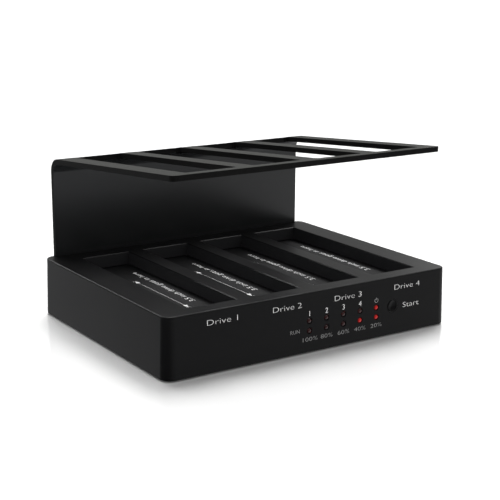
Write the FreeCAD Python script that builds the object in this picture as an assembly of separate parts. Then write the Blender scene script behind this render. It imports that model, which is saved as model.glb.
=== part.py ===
"""Four-bay drive duplicator: a low base with sprung bay flaps and a bent drive rack.

Frame: origin on the table, under the middle of the base. +X is to the right as
seen from the front, +Y runs from the front panel to the rear, +Z is up.
All lengths are in millimetres. One STEP file is written for each piece.
"""

import FreeCAD
import Part
import math
import os

# --- Flats that stand for round sides on small pieces ------------------------
FOOT_FLAT_COUNT = 24           # feet, the button and their openings
LENS_FLAT_COUNT = 16           # lights, cans, the jack and pockets for screw heads
PIN_FLAT_COUNT = 12            # rods, barrels, pins and screw heads
POST_FLAT_COUNT = 8            # shanks, pilot holes and hidden posts

# --- Drives that the bays take ---------------------------------------------
SMALL_DRIVE_THICKNESS = 9.5    # 2.5-inch drive, across X
DRIVE_SIDE_PLAY = 0.35         # each face; a 3.5-inch drive is 26.1 thick
DRIVE_END_PLAY = 1.45          # each edge; a 3.5-inch drive is 101.6 wide
CONTACT_LINE = 3.5             # connector centre above a drive's lower face
CONTACT_INSET = 33.4           # connector centre from a drive's front edge

# --- Base -------------------------------------------------------------------
HOUSING_WIDTH = 163.0          # across the top edge
HOUSING_DEPTH = 126.3          # across the top edge
HOUSING_TOP = 29.9             # above the table
SKIRT_BOTTOM = 0.8             # lower edge of the walls above the table
DRAFT = 0.0232                 # side walls spread by this share of their height
CORNER_RADIUS = 4.6            # vertical corners, at the top edge
TOP_EDGE_RADIUS = 0.7
WALL = 2.2
TOP_WALL = 2.2

# --- Bays -------------------------------------------------------------------
BAY_COUNT = 4
BAY_LEFT_MARGIN = 15.6         # from the left edge to the first bay
BAY_RIGHT_MARGIN = 14.1        # from the last bay to the right edge
BAY_DIVIDER = 8.7              # between neighbouring bays
BAY_FRONT_INSET = 8.8          # from the front panel's top edge
BAY_REAR_INSET = 13.0          # from the rear wall's top edge
WELL_WALL = 1.2
RIM_CHAMFER = 0.35             # bright line round each bay
FLAP_DROP = 7.0                # flap face below the housing's top

# --- Flaps ------------------------------------------------------------------
FLAP_THICKNESS = 1.4
FLAP_END_GAP = 0.4
FLAP_SPLIT = 0.4               # between the small and the large flap
FLAP_WALL_GAP = 0.3            # under the well wall
BARREL_RADIUS = 1.2
HINGE_INSET = 1.3              # hinge line outside the bay's side
ROD_RADIUS = 0.75
ROD_RUNNING_GAP = 0.05
ROD_SEAT_GAP = 0.03
LUG_WIDTH = 3.8
LUG_LENGTH = 2.6
FLAP_RIB_HEIGHT = 0.8
FLAP_RIB_WIDTH = 1.2
FLAP_RIB_COUNT = 5
FLAP_OPEN_DEG = 90.0

# --- Flap springs -----------------------------------------------------------
SPRING_WIRE = 0.4
SPRING_RADIUS = 1.2            # to the middle of the wire
SPRING_COIL = 2.4              # length of the close-wound coil
SPRING_LEG = 6.0
SPRING_START = 7.0             # from the flap's front end
SPRING_ROOM = 0.4              # round the coil

# --- Drive rack -------------------------------------------------------------
RACK_SIDE_INSET = 5.5          # from the base's sides
RACK_THICKNESS = 2.6
RACK_BEND_RADIUS = 5.0         # inner
RACK_FRONT_TOP = 91.6          # top of the front edge above the table
RACK_FRONT_INSET = 2.2         # front edge behind the front panel
RACK_RISE = 0.0864             # rise toward the front for each mm of run
RACK_CORNER = 3.0
RACK_WINDOW_CORNER = 1.5
RACK_REAR_RUN = 7.9            # windows run past the bays into the bend
RACK_SKIRT_BOTTOM = 20.3
RACK_TONGUE_INSET = 26.0       # from the rack's sides
RACK_TONGUE_BOTTOM = 6.0
RACK_SIDE_GAP = 0.3
RACK_SCREW_COUNT = 4
RACK_SCREW_INSET = 8.0         # from the tongue's sides
RACK_SCREW_Z = 12.5

# --- Front panel ------------------------------------------------------------
LED_RADIUS = 1.5
LED_HOLE_GAP = 0.1
LED_COLUMN_X = -4.2
LED_COLUMN_PITCH = 10.08
LED_COLUMNS = 5
LED_TOP_ROW_Z = 16.0
LED_LOW_ROW_Z = 11.2
LED_PROUD = 0.3
LED_LENS = 0.4                 # height of the tapered tip
LED_TIP_RADIUS = 0.9
LED_LIT = ((3, 1), (4, 0), (4, 1))   # column, row; row 0 is the top one
BUTTON_OFFSET = 10.18          # right of the last light column
BUTTON_Z = 15.2
BUTTON_RADIUS = 3.1
BUTTON_SIDE_GAP = 0.15
BUTTON_PROUD = 0.2
BUTTON_FLANGE_RADIUS = 3.9
BUTTON_FLANGE = 0.7
BUTTON_TRAVEL = 0.7
BUTTON_STEM_RADIUS = 1.1
BUTTON_SEAT_GAP = 0.05         # flange behind the wall
BUTTON_END_GAP = 0.3
TACT_SIZE = 6.0
TACT_FLOOR = 0.15

# --- Boards -----------------------------------------------------------------
COVER_THICKNESS = 1.6
COVER_SIDE_GAP = 0.25
BOARD_THICKNESS = 1.6
BOARD_STANDOFF = 0.6
BOARD_EDGE_GAP = 0.6
BOARD_CORNER = 3.0
FLAP_SWEEP_GAP = 0.35
LED_BOARD_SETBACK = 5.4        # front face of the board behind the front edge
LED_BOARD_MARGIN = 7.8         # past the first light column and the button
LED_BOARD_LIFT = 0.5
LED_BOARD_LUG_GAP = 0.4
LED_SCREW_INSET = 3.2
LED_SCREW_Z = 8.8
LINK_X = 22.0
LINK_LENGTH = 16.0
LINK_DEPTH = 1.6
LINK_HEIGHT = 3.4

# --- Screws and feet --------------------------------------------------------
CASE_SCREW_FRONT_INSET = 8.2
CASE_SCREW_REAR_INSET = 25.2
BOARD_SCREW_INSET = 43.2       # side pair, from the front edge
BOARD_SCREW_SIDE_INSET = 33.5  # rear pair, from the base's sides
SCREW_RADIUS = 1.45
SCREW_HOLE_GAP = 0.1
SCREW_PILOT_GAP = 0.02
SCREW_HEAD_RADIUS = 2.6
SCREW_HEAD = 1.2
SCREW_LENGTH = 9.0
SHORT_SCREW_LENGTH = 5.0
SMALL_SCREW_RADIUS = 0.95
SMALL_HEAD_RADIUS = 1.8
SMALL_HEAD = 0.8
BOSS_WALL = 1.5
FOOT_RADIUS = 6.0
FOOT_POCKET = 0.7
FOOT_SIDE_GAP = 0.2
FOOT_SIDE_INSET = 19.5
FOOT_END_INSET = 14.2
VENT_WIDTH = 2.0
VENT_LENGTH = 14.0
VENT_PITCH = 5.0
VENT_COUNT = 9
VENT_ROW_OFFSET = 16.0         # each row from the middle

# --- Sockets and switch at the rear -----------------------------------------
PORT_GAP = 0.2
PORT_SINK = 0.6
JACK_WIDTH = 9.0
JACK_DEPTH = 13.6
JACK_HEIGHT = 11.0
JACK_BORE_RADIUS = 3.15
JACK_BORE_DEPTH = 10.0
JACK_PIN_RADIUS = 1.05
JACK_PIN_SINK = 1.0
USB_SIDE_GAP = 0.9             # from the thick part of the rear wall
USB_WIDTH = 12.2
USB_DEPTH = 8.0
USB_HEIGHT = 3.0
USB_SHELL = 0.4
USB_TONGUE = 0.7
SWITCH_Z = 11.4
SWITCH_BODY_WIDTH = 8.4
SWITCH_BODY_HEIGHT = 12.4
SWITCH_BODY_DEPTH = 11.0
SWITCH_BEZEL_WIDTH = 10.2
SWITCH_BEZEL_HEIGHT = 14.2
SWITCH_BEZEL = 0.6
SWITCH_WALL = 0.9
SWITCH_POCKET = 6.6
ROCKER_SIDE_GAP = 0.25
ROCKER_HALF_LENGTH = 4.6
ROCKER_TILT_DEG = 9.0
ROCKER_AXIS_DEPTH = 2.3        # behind the bezel's face
ROCKER_MIDDLE = 0.9            # pressing face above the axis
ROCKER_PIN_RADIUS = 0.8
ROCKER_PIN_GAP = 0.05
ROCKER_PIN_LENGTH = 0.6
BLADE_WIDTH = 3.0
BLADE_THICKNESS = 0.8
BLADE_LENGTH = 4.0

# --- Drive sockets ----------------------------------------------------------
SOCKET_LENGTH = 41.0
SOCKET_WIDTH = 6.2
SOCKET_FOOT = 1.0
SOCKET_NOSE_LENGTH = 34.4
SOCKET_NOSE_WIDTH = 5.0
SOCKET_SLOT = 1.3
SOCKET_KEY = 1.2
SOCKET_DATA_LENGTH = 10.4
SOCKET_POWER_LENGTH = 20.5
SOCKET_SLOT_DEPTH = 3.2

# --- Small parts on the main board ------------------------------------------
CHIP_SIZE = 8.5
CHIP_HEIGHT = 1.2
CHIP_INSETS = (63.0, 76.0)     # from the front edge, in both side strips
CAPACITOR_RADIUS = 2.6
CAPACITOR_HEIGHT = 7.5
CAPACITOR_SPOTS = (-0.368, 0.368, 0.767)   # shares of the half width
COIL_SIZE = 6.0
COIL_HEIGHT = 3.0
COIL_CORNER = 1.2
COIL_INSET = 30.0              # from the front edge, in both side strips

# --- Worked out from the sizes above ---------------------------------------
FRONT = -HOUSING_DEPTH / 2
REAR = HOUSING_DEPTH / 2
BAY_ROOM = HOUSING_WIDTH - BAY_LEFT_MARGIN - BAY_RIGHT_MARGIN
BAY_WIDTH = (BAY_ROOM - (BAY_COUNT - 1) * BAY_DIVIDER) / BAY_COUNT
BAY_LENGTH = HOUSING_DEPTH - BAY_FRONT_INSET - BAY_REAR_INSET
BAY_FRONT = FRONT + BAY_FRONT_INSET
BAY_REAR = BAY_FRONT + BAY_LENGTH
FLAP_TOP = HOUSING_TOP - FLAP_DROP
HINGE_Z = FLAP_TOP - BARREL_RADIUS
WELL_BOTTOM = FLAP_TOP + FLAP_WALL_GAP
SMALL_FLAP = SMALL_DRIVE_THICKNESS + DRIVE_SIDE_PLAY
COVER_TOP = SKIRT_BOTTOM + COVER_THICKNESS
BOARD_BOTTOM = COVER_TOP + BOARD_STANDOFF
BOARD_TOP = BOARD_BOTTOM + BOARD_THICKNESS
RECESS_FLOOR = REAR - RACK_THICKNESS
RACK_WIDTH = HOUSING_WIDTH - 2 * RACK_SIDE_INSET
RACK_TONGUE_WIDTH = RACK_WIDTH - 2 * RACK_TONGUE_INSET
RACK_SCREW_PITCH = (RACK_TONGUE_WIDTH - 2 * RACK_SCREW_INSET) / (RACK_SCREW_COUNT - 1)
LED_BOARD_FRONT = FRONT + LED_BOARD_SETBACK
LED_BOARD_TOP = HINGE_Z - LUG_WIDTH / 2 - LED_BOARD_LUG_GAP
BUTTON_X = LED_COLUMN_X + (LED_COLUMNS - 1) * LED_COLUMN_PITCH + BUTTON_OFFSET
LED_BOARD_LEFT = LED_COLUMN_X - LED_BOARD_MARGIN
LED_BOARD_RIGHT = BUTTON_X + LED_BOARD_MARGIN
LED_SCREW_X = (LED_BOARD_LEFT + LED_SCREW_INSET, LED_BOARD_RIGHT - LED_SCREW_INSET)
RACK_SCREW_X = [(index - (RACK_SCREW_COUNT - 1) / 2) * RACK_SCREW_PITCH
                for index in range(RACK_SCREW_COUNT)]
BOARD_REAR = RECESS_FLOOR - WALL - BOARD_EDGE_GAP
USB_X = -(RACK_TONGUE_WIDTH / 2 + RACK_SIDE_GAP + WALL + USB_SIDE_GAP + USB_WIDTH / 2)
SWITCH_FACE = REAR + SWITCH_BEZEL


def bay_left(bay):
    """X of a bay's left side; bays are counted from 0 at the left."""
    return BAY_LEFT_MARGIN - HOUSING_WIDTH / 2 + bay * (BAY_WIDTH + BAY_DIVIDER)


def bay_hinges(bay):
    """X of the two hinge lines of a bay, left and right."""
    left = bay_left(bay)
    return left - HINGE_INSET, left + BAY_WIDTH + HINGE_INSET


def side_strip(side):
    """X of the middle of the free strip beside the bays; side is -1 or 1."""
    hinge = bay_hinges(0)[0] if side < 0 else bay_hinges(BAY_COUNT - 1)[1]
    flap_side = hinge + side * BARREL_RADIUS
    wall_side = side * (HOUSING_WIDTH / 2 - WALL)
    return (flap_side + wall_side) / 2


def rear_strip():
    """Y of the middle of the free strip of board behind the bays."""
    return (BAY_REAR + BOARD_REAR) / 2


def case_screw_places():
    """X and Y of the four screws that close the case."""
    return [(side_strip(side), y) for side in (-1, 1)
            for y in (FRONT + CASE_SCREW_FRONT_INSET, REAR - CASE_SCREW_REAR_INSET)]


def board_screw_places():
    """X and Y of the four screws of the main board."""
    sides = [(side_strip(side), FRONT + BOARD_SCREW_INSET) for side in (-1, 1)]
    rears = [(side * (HOUSING_WIDTH / 2 - BOARD_SCREW_SIDE_INSET), rear_strip()) for side in (-1, 1)]
    return sides + rears


def foot_places():
    """X and Y of the four feet."""
    return [(x * (HOUSING_WIDTH / 2 - FOOT_SIDE_INSET), y * (HOUSING_DEPTH / 2 - FOOT_END_INSET))
            for x in (-1, 1) for y in (-1, 1)]


def wall_spread(z):
    """How far the drafted walls stand outside the top edge at height z."""
    return DRAFT * (HOUSING_TOP - z)


# --- Shape helpers ----------------------------------------------------------
def vec(x, y, z):
    """Point or direction."""
    return FreeCAD.Vector(x, y, z)


def box(x0, x1, y0, y1, z0, z1):
    """Block between two corners."""
    return Part.makeBox(x1 - x0, y1 - y0, z1 - z0, vec(x0, y0, z0))


def flat_ring(start, direction, radius, flats):
    """Closed outline with flats instead of a circle; radius reaches the corners."""
    turn = FreeCAD.Rotation(vec(0, 0, 1), direction)
    points = []
    for index in range(flats):
        angle = 2 * math.pi * (index + 0.5) / flats
        points.append(start + turn.multVec(vec(radius * math.cos(angle), radius * math.sin(angle), 0)))
    return Part.makePolygon(points + points[:1])


def flat_sided(start, direction, length, radius, flats):
    """Rod with flats instead of a round side."""
    return Part.Face(flat_ring(start, direction, radius, flats)).extrude(direction * length)


def rod_x(x0, x1, y, z, radius, flats):
    """Flat-sided rod along X."""
    return flat_sided(vec(x0, y, z), vec(1, 0, 0), x1 - x0, radius, flats)


def rod_y(x, y0, y1, z, radius, flats):
    """Flat-sided rod along Y."""
    return flat_sided(vec(x, y0, z), vec(0, 1, 0), y1 - y0, radius, flats)


def rod_z(x, y, z0, z1, radius, flats):
    """Flat-sided rod along Z."""
    return flat_sided(vec(x, y, z0), vec(0, 0, 1), z1 - z0, radius, flats)


def clear_of(radius, flats):
    """Corner radius of a flat-sided hole that a round of this radius just turns in."""
    return radius / math.cos(math.pi / flats)


def fused(shapes):
    """One solid from several that meet, with no seams left on flat faces."""
    first, rest = shapes[0], shapes[1:]
    return first.fuse(rest).removeSplitter() if rest else first


def corner_points(x0, x1, y0, y1, radius, z):
    """Start, middle and end of the arc in each corner of a rectangle."""
    corners = []
    for x, y, start in ((x1, y1, 0), (x0, y1, 90), (x0, y0, 180), (x1, y0, 270)):
        cx = x - math.copysign(radius, x - (x0 + x1) / 2)
        cy = y - math.copysign(radius, y - (y0 + y1) / 2)
        arc = []
        for turn in (0, 45, 90):
            angle = math.radians(start + turn)
            arc.append(vec(cx + radius * math.cos(angle), cy + radius * math.sin(angle), z))
        corners.append(arc)
    return corners


def round_plate(x0, x1, y0, y1, radius, z0, z1):
    """Flat plate with round corners."""
    corners = corner_points(x0, x1, y0, y1, radius, z0)
    edges = []
    for index, (start, middle, end) in enumerate(corners):
        edges.append(Part.LineSegment(corners[index - 1][2], start).toShape())
        edges.append(Part.Arc(start, middle, end).toShape())
    return Part.Face(Part.Wire(edges)).extrude(vec(0, 0, z1 - z0))


def cut_plate(x0, x1, y0, y1, radius, z0, z1):
    """Flat plate whose small corners are rounded by two flats each."""
    points = sum(corner_points(x0, x1, y0, y1, radius, z0), [])
    return Part.Face(Part.makePolygon(points + points[:1])).extrude(vec(0, 0, z1 - z0))


def inner_plate(inset, z0, z1):
    """Straight-sided block that fits inside the walls, set in from the top edge."""
    x = HOUSING_WIDTH / 2 - inset
    y = HOUSING_DEPTH / 2 - inset
    return round_plate(-x, x, -y, y, CORNER_RADIUS - inset / 2, z0, z1)


def drafted_block():
    """Outer form of the base: flat walls that lean out downward, with conical corners."""
    height = HOUSING_TOP - SKIRT_BOTTOM
    spread = wall_spread(SKIRT_BOTTOM)
    x = HOUSING_WIDTH / 2
    y = HOUSING_DEPTH / 2
    corner_x = x - CORNER_RADIUS
    corner_y = y - CORNER_RADIUS
    blocks = []
    for half_x, half_y, grow_x, grow_y in ((x, corner_y, spread, 0), (corner_x, y, 0, spread)):
        low = [vec(sx * (half_x + grow_x), sy * (half_y + grow_y), SKIRT_BOTTOM)
               for sx, sy in ((-1, -1), (1, -1), (1, 1), (-1, 1))]
        high = [vec(sx * half_x, sy * half_y, HOUSING_TOP) for sx, sy in ((-1, -1), (1, -1), (1, 1), (-1, 1))]
        wires = [Part.makePolygon(points + points[:1]) for points in (low, high)]
        blocks.append(Part.makeLoft(wires, True, True))
    for sx in (-1, 1):
        for sy in (-1, 1):
            blocks.append(Part.makeCone(CORNER_RADIUS + spread, CORNER_RADIUS, height,
                                        vec(sx * corner_x, sy * corner_y, SKIRT_BOTTOM)))
    return fused(blocks)


def screw(x, y, z, direction, length, radius, head_radius, head):
    """Screw with its head's seat at (x, y, z) and its shank along direction."""
    seat = vec(x, y, z)
    shank = flat_sided(seat, direction, length, radius, POST_FLAT_COUNT)
    cap = flat_sided(seat, direction * -1, head, head_radius, PIN_FLAT_COUNT)
    return cap.fuse(shank)


# --- Housing ----------------------------------------------------------------
def top_edge(shape):
    """Edges of the housing's outer rim."""
    limit_x = HOUSING_WIDTH / 2 - CORNER_RADIUS
    limit_y = HOUSING_DEPTH / 2 - CORNER_RADIUS
    found = []
    for edge in shape.Edges:
        middle = edge.CenterOfMass
        outside = abs(middle.x) > limit_x or abs(middle.y) > limit_y
        if outside and abs(edge.BoundBox.ZMin - HOUSING_TOP) < 0.01:
            found.append(edge)
    return found


def hinge_lugs(bay):
    """Four lugs that hang from the top and hold the ends of a bay's hinge rods."""
    lugs = []
    for x in bay_hinges(bay):
        for y0 in (BAY_FRONT - LUG_LENGTH, BAY_REAR):
            lug = box(x - LUG_WIDTH / 2, x + LUG_WIDTH / 2, y0, y0 + LUG_LENGTH,
                      HINGE_Z - LUG_WIDTH / 2, HOUSING_TOP - TOP_WALL / 2)
            lugs.append(lug)
    return lugs


def bay_cutter(bay):
    """Space of a bay's mouth with the chamfer of its rim."""
    x0 = bay_left(bay)
    x1 = x0 + BAY_WIDTH
    mouth = box(x0, x1, BAY_FRONT, BAY_REAR, WELL_BOTTOM - 1, HOUSING_TOP + 1)
    low = HOUSING_TOP - RIM_CHAMFER
    high = HOUSING_TOP + RIM_CHAMFER
    wires = []
    for grow, z in ((0, low), (2 * RIM_CHAMFER, high)):
        corners = [vec(x0 - grow, BAY_FRONT - grow, z), vec(x1 + grow, BAY_FRONT - grow, z),
                   vec(x1 + grow, BAY_REAR + grow, z), vec(x0 - grow, BAY_REAR + grow, z)]
        wires.append(Part.makePolygon(corners + corners[:1]))
    return mouth.fuse(Part.makeLoft(wires, True, True))


def led_places():
    """Column, row, X and Z of each front light."""
    for column in range(LED_COLUMNS):
        for row, z in enumerate((LED_TOP_ROW_Z, LED_LOW_ROW_Z)):
            yield column, row, LED_COLUMN_X + column * LED_COLUMN_PITCH, z


def rack_recess():
    """Space of the rack's lower part in the rear wall."""
    half = RACK_WIDTH / 2 + RACK_SIDE_GAP
    tongue = RACK_TONGUE_WIDTH / 2 + RACK_SIDE_GAP
    outside = REAR + 2
    wide = box(-half, half, RECESS_FLOOR, outside, RACK_SKIRT_BOTTOM - RACK_SIDE_GAP, HOUSING_TOP + 1)
    low = box(-tongue, tongue, RECESS_FLOOR, outside, RACK_TONGUE_BOTTOM - RACK_SIDE_GAP, RACK_SKIRT_BOTTOM)
    return wide.fuse(low)


def rear_wall_step():
    """Thick part of the rear wall, round the rack's recess."""
    half = RACK_WIDTH / 2 + RACK_SIDE_GAP + WALL / 2
    tongue = RACK_TONGUE_WIDTH / 2 + RACK_SIDE_GAP + WALL
    inner = RECESS_FLOOR - WALL
    outer = REAR - WALL / 2
    shelf = RACK_SKIRT_BOTTOM - RACK_SIDE_GAP - WALL
    wide = box(-half, half, inner, outer, shelf, HOUSING_TOP - TOP_WALL / 2)
    low = box(-tongue, tongue, inner, outer, COVER_TOP + SCREW_PILOT_GAP, RACK_SKIRT_BOTTOM)
    return [wide, low]


def housing_bosses():
    """Screw posts inside the housing."""
    boss = SCREW_RADIUS + BOSS_WALL
    small_boss = SMALL_SCREW_RADIUS + BOSS_WALL
    posts = []
    for x, y in case_screw_places():
        posts.append(rod_z(x, y, COVER_TOP, HOUSING_TOP - TOP_WALL / 2, boss, POST_FLAT_COUNT))
    for x in RACK_SCREW_X:
        posts.append(rod_y(x, RECESS_FLOOR - SHORT_SCREW_LENGTH, RECESS_FLOOR - WALL / 2, RACK_SCREW_Z, boss,
                           POST_FLAT_COUNT))
    for x in LED_SCREW_X:
        posts.append(rod_y(x, FRONT + WALL / 2, LED_BOARD_FRONT, LED_SCREW_Z, small_boss, POST_FLAT_COUNT))
    return posts


def port_openings():
    """Middle X, middle Z, width, height and start in Y of each opening in the rear wall."""
    behind = RECESS_FLOOR - 2 * WALL
    jack = (side_strip(-1), BOARD_TOP + JACK_HEIGHT / 2, JACK_WIDTH, JACK_HEIGHT, behind)
    data = (USB_X, BOARD_TOP + USB_HEIGHT / 2, USB_WIDTH, USB_HEIGHT, behind)
    body = (side_strip(1), SWITCH_Z, SWITCH_BODY_WIDTH, SWITCH_BODY_HEIGHT, behind)
    bezel = (side_strip(1), SWITCH_Z, SWITCH_BEZEL_WIDTH, SWITCH_BEZEL_HEIGHT, REAR)
    return jack, data, body, bezel


def housing_holes():
    """Lights, button, sockets and screw holes cut from the housing."""
    pilot = SCREW_RADIUS + SCREW_PILOT_GAP
    small_pilot = SMALL_SCREW_RADIUS + SCREW_PILOT_GAP
    before = FRONT - 2
    after = REAR + 2
    inside = FRONT + WALL
    holes = []
    for column, row, x, z in led_places():
        holes.append(rod_y(x, before, inside, z, LED_RADIUS + LED_HOLE_GAP, LENS_FLAT_COUNT))
    holes.append(rod_y(BUTTON_X, before, inside, BUTTON_Z, BUTTON_RADIUS + BUTTON_SIDE_GAP, FOOT_FLAT_COUNT))
    for x, y in case_screw_places():
        holes.append(rod_z(x, y, COVER_TOP - 1, COVER_TOP + SCREW_LENGTH, pilot, POST_FLAT_COUNT))
    for x in RACK_SCREW_X:
        holes.append(rod_y(x, RECESS_FLOOR - SHORT_SCREW_LENGTH, RECESS_FLOOR + 1, RACK_SCREW_Z, pilot,
                           POST_FLAT_COUNT))
    for x in LED_SCREW_X:
        holes.append(rod_y(x, inside, LED_BOARD_FRONT + 1, LED_SCREW_Z, small_pilot, POST_FLAT_COUNT))
    for x, z, width, height, start in port_openings():
        half_w = width / 2 + PORT_GAP
        half_h = height / 2 + PORT_GAP
        holes.append(box(x - half_w, x + half_w, start, after, z - half_h, z + half_h))
    return holes


def top_housing():
    """Moulded shell: drafted walls, four bay wells, lugs, bosses and cut-outs."""
    outer = drafted_block()
    outer = outer.makeFillet(TOP_EDGE_RADIUS, top_edge(outer))
    shell = outer.cut(inner_plate(WALL, SKIRT_BOTTOM - 1, HOUSING_TOP - TOP_WALL))
    solids = []
    for bay in range(BAY_COUNT):
        x0 = bay_left(bay) - WELL_WALL
        x1 = bay_left(bay) + BAY_WIDTH + WELL_WALL
        solids.append(box(x0, x1, BAY_FRONT - WELL_WALL, BAY_REAR + WELL_WALL,
                          WELL_BOTTOM, HOUSING_TOP - TOP_WALL / 2))
        solids.extend(hinge_lugs(bay))
    solids.extend(rear_wall_step())
    solids.extend(housing_bosses())
    shell = shell.fuse(solids)
    cutters = [bay_cutter(bay) for bay in range(BAY_COUNT)]
    for bay in range(BAY_COUNT):
        for x in bay_hinges(bay):
            seat = ROD_RADIUS + ROD_SEAT_GAP
            cutters.append(box(x - seat, x + seat, BAY_FRONT - LUG_LENGTH, BAY_REAR + LUG_LENGTH,
                               HINGE_Z - seat, HINGE_Z + seat))
    cutters.append(rack_recess())
    cutters.extend(housing_holes())
    return shell.cut(cutters).removeSplitter()


def bottom_cover():
    """Floor plate inside the walls, with standoffs, foot pockets and vents."""
    middle = SKIRT_BOTTOM + COVER_THICKNESS / 2
    standoff = SMALL_SCREW_RADIUS + BOSS_WALL
    small_pilot = SMALL_SCREW_RADIUS + SCREW_PILOT_GAP
    plate = inner_plate(WALL + COVER_SIDE_GAP, SKIRT_BOTTOM, COVER_TOP)
    pads = [rod_z(x, y, middle, BOARD_BOTTOM, standoff, POST_FLAT_COUNT) for x, y in board_screw_places()]
    plate = plate.fuse(pads)
    cutters = []
    for x, y in case_screw_places():
        cutters.append(rod_z(x, y, 0, COVER_TOP + 1, SCREW_RADIUS + SCREW_HOLE_GAP, POST_FLAT_COUNT))
        cutters.append(rod_z(x, y, 0, middle, SCREW_HEAD_RADIUS + SCREW_HOLE_GAP, LENS_FLAT_COUNT))
    for x, y in board_screw_places():
        cutters.append(rod_z(x, y, middle, BOARD_BOTTOM + 1, small_pilot, POST_FLAT_COUNT))
    pocket = FOOT_RADIUS + FOOT_SIDE_GAP
    for x, y in foot_places():
        cutters.append(rod_z(x, y, 0, SKIRT_BOTTOM + FOOT_POCKET, pocket, FOOT_FLAT_COUNT))
    for row in (-1, 1):
        for index in range(VENT_COUNT):
            x = (index - (VENT_COUNT - 1) / 2) * VENT_PITCH
            y = row * VENT_ROW_OFFSET
            cutters.append(box(x - VENT_WIDTH / 2, x + VENT_WIDTH / 2, y - VENT_LENGTH / 2,
                               y + VENT_LENGTH / 2, 0, COVER_TOP + 1))
    return plate.cut(cutters)


# --- Flaps, rods and springs ------------------------------------------------
def flap(bay, side):
    """One flap: side -1 is the small left one, side 1 the large right one."""
    hinge = bay_hinges(bay)[0 if side < 0 else 1]
    tip = bay_left(bay) + SMALL_FLAP + (0 if side < 0 else FLAP_SPLIT)
    x0 = min(hinge, tip)
    x1 = max(hinge, tip)
    y0 = BAY_FRONT + FLAP_END_GAP
    y1 = BAY_REAR - FLAP_END_GAP
    under = FLAP_TOP - FLAP_THICKNESS
    plate = box(x0, x1, y0, y1, under, FLAP_TOP)
    barrel = rod_y(hinge, y0, y1, HINGE_Z, BARREL_RADIUS, PIN_FLAT_COUNT)
    half_rib = FLAP_RIB_WIDTH / 2
    rib_pitch = (y1 - spring_leg_y() - half_rib) / (FLAP_RIB_COUNT - 1)
    ribs = []
    for index in range(FLAP_RIB_COUNT):
        y = spring_leg_y() + index * rib_pitch
        ribs.append(box(x0, x1, y - half_rib, y + half_rib, under - FLAP_RIB_HEIGHT, FLAP_TOP))
    body = plate.fuse([barrel] + ribs)
    room = SPRING_RADIUS + SPRING_WIRE / 2 + SPRING_ROOM
    notch_end = spring_leg_y() + SPRING_WIRE / 2 + SPRING_ROOM
    notch = box(hinge - room, hinge + room, y0 + SPRING_START, notch_end, HINGE_Z - room, FLAP_TOP + 1)
    bore_radius = clear_of(ROD_RADIUS + ROD_RUNNING_GAP, PIN_FLAT_COUNT)
    bore = rod_y(hinge, y0 - 1, y1 + 1, HINGE_Z, bore_radius, PIN_FLAT_COUNT)
    return body.cut([notch, bore]).removeSplitter()


def spring_leg_y():
    """Y of the spring leg that bears on the flap."""
    return BAY_FRONT + FLAP_END_GAP + SPRING_START + SPRING_ROOM + SPRING_COIL


def hinge_rods():
    """Eight steel rods, one through each flap's barrel."""
    rods = []
    for bay in range(BAY_COUNT):
        for x in bay_hinges(bay):
            rods.append(rod_y(x, BAY_FRONT - LUG_LENGTH, BAY_REAR + LUG_LENGTH, HINGE_Z, ROD_RADIUS,
                              PIN_FLAT_COUNT))
    return Part.makeCompound(rods)


def flap_spring(bay, side):
    """Close-wound torsion spring round a hinge rod, with one leg under the flap."""
    hinge = bay_hinges(bay)[0 if side < 0 else 1]
    half = SPRING_WIRE / 2
    end = spring_leg_y() + half
    start = end - SPRING_COIL
    coil = rod_y(hinge, start, end, HINGE_Z, SPRING_RADIUS + half, PIN_FLAT_COUNT)
    hollow = rod_y(hinge, start - 1, end + 1, HINGE_Z, SPRING_RADIUS - half, PIN_FLAT_COUNT)
    low = HINGE_Z - SPRING_RADIUS
    reach = hinge - side * SPRING_LEG
    leg = box(min(hinge, reach), max(hinge, reach), end - SPRING_WIRE, end, low - half, low + half)
    return fused([coil.cut(hollow), leg])


# --- Drive rack -------------------------------------------------------------
def rack_profile():
    """Side outline of the bent plate, in the YZ plane."""
    top_rear = RACK_FRONT_TOP - RACK_RISE * (HOUSING_DEPTH - RACK_FRONT_INSET)
    tilt = math.atan(RACK_RISE)
    turn = math.pi / 2 - tilt
    forward = vec(0, -math.cos(tilt), math.sin(tilt))
    inward = vec(0, -math.sin(tilt), -math.cos(tilt))
    outer_radius = RACK_BEND_RADIUS + RACK_THICKNESS
    corner = vec(0, REAR, top_rear)
    reach = outer_radius * math.tan(turn / 2)
    start = corner - vec(0, 0, reach)
    end = corner + forward * reach
    centre = start - vec(0, outer_radius, 0)
    half_turn = turn / 2
    toward = vec(0, math.cos(half_turn), math.sin(half_turn))
    front_top = vec(0, FRONT + RACK_FRONT_INSET, RACK_FRONT_TOP)
    front_low = front_top + inward * RACK_THICKNESS
    inner_end = end + inward * RACK_THICKNESS
    inner_start = start - vec(0, RACK_THICKNESS, 0)
    foot_outer = vec(0, REAR, RACK_TONGUE_BOTTOM)
    foot_inner = vec(0, REAR - RACK_THICKNESS, RACK_TONGUE_BOTTOM)
    edges = [Part.LineSegment(foot_outer, start).toShape(),
             Part.Arc(start, centre + toward * outer_radius, end).toShape(),
             Part.LineSegment(end, front_top).toShape(),
             Part.LineSegment(front_top, front_low).toShape(),
             Part.LineSegment(front_low, inner_end).toShape(),
             Part.Arc(inner_end, centre + toward * RACK_BEND_RADIUS, inner_start).toShape(),
             Part.LineSegment(inner_start, foot_inner).toShape(),
             Part.LineSegment(foot_inner, foot_outer).toShape()]
    return Part.Wire(edges)


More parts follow.
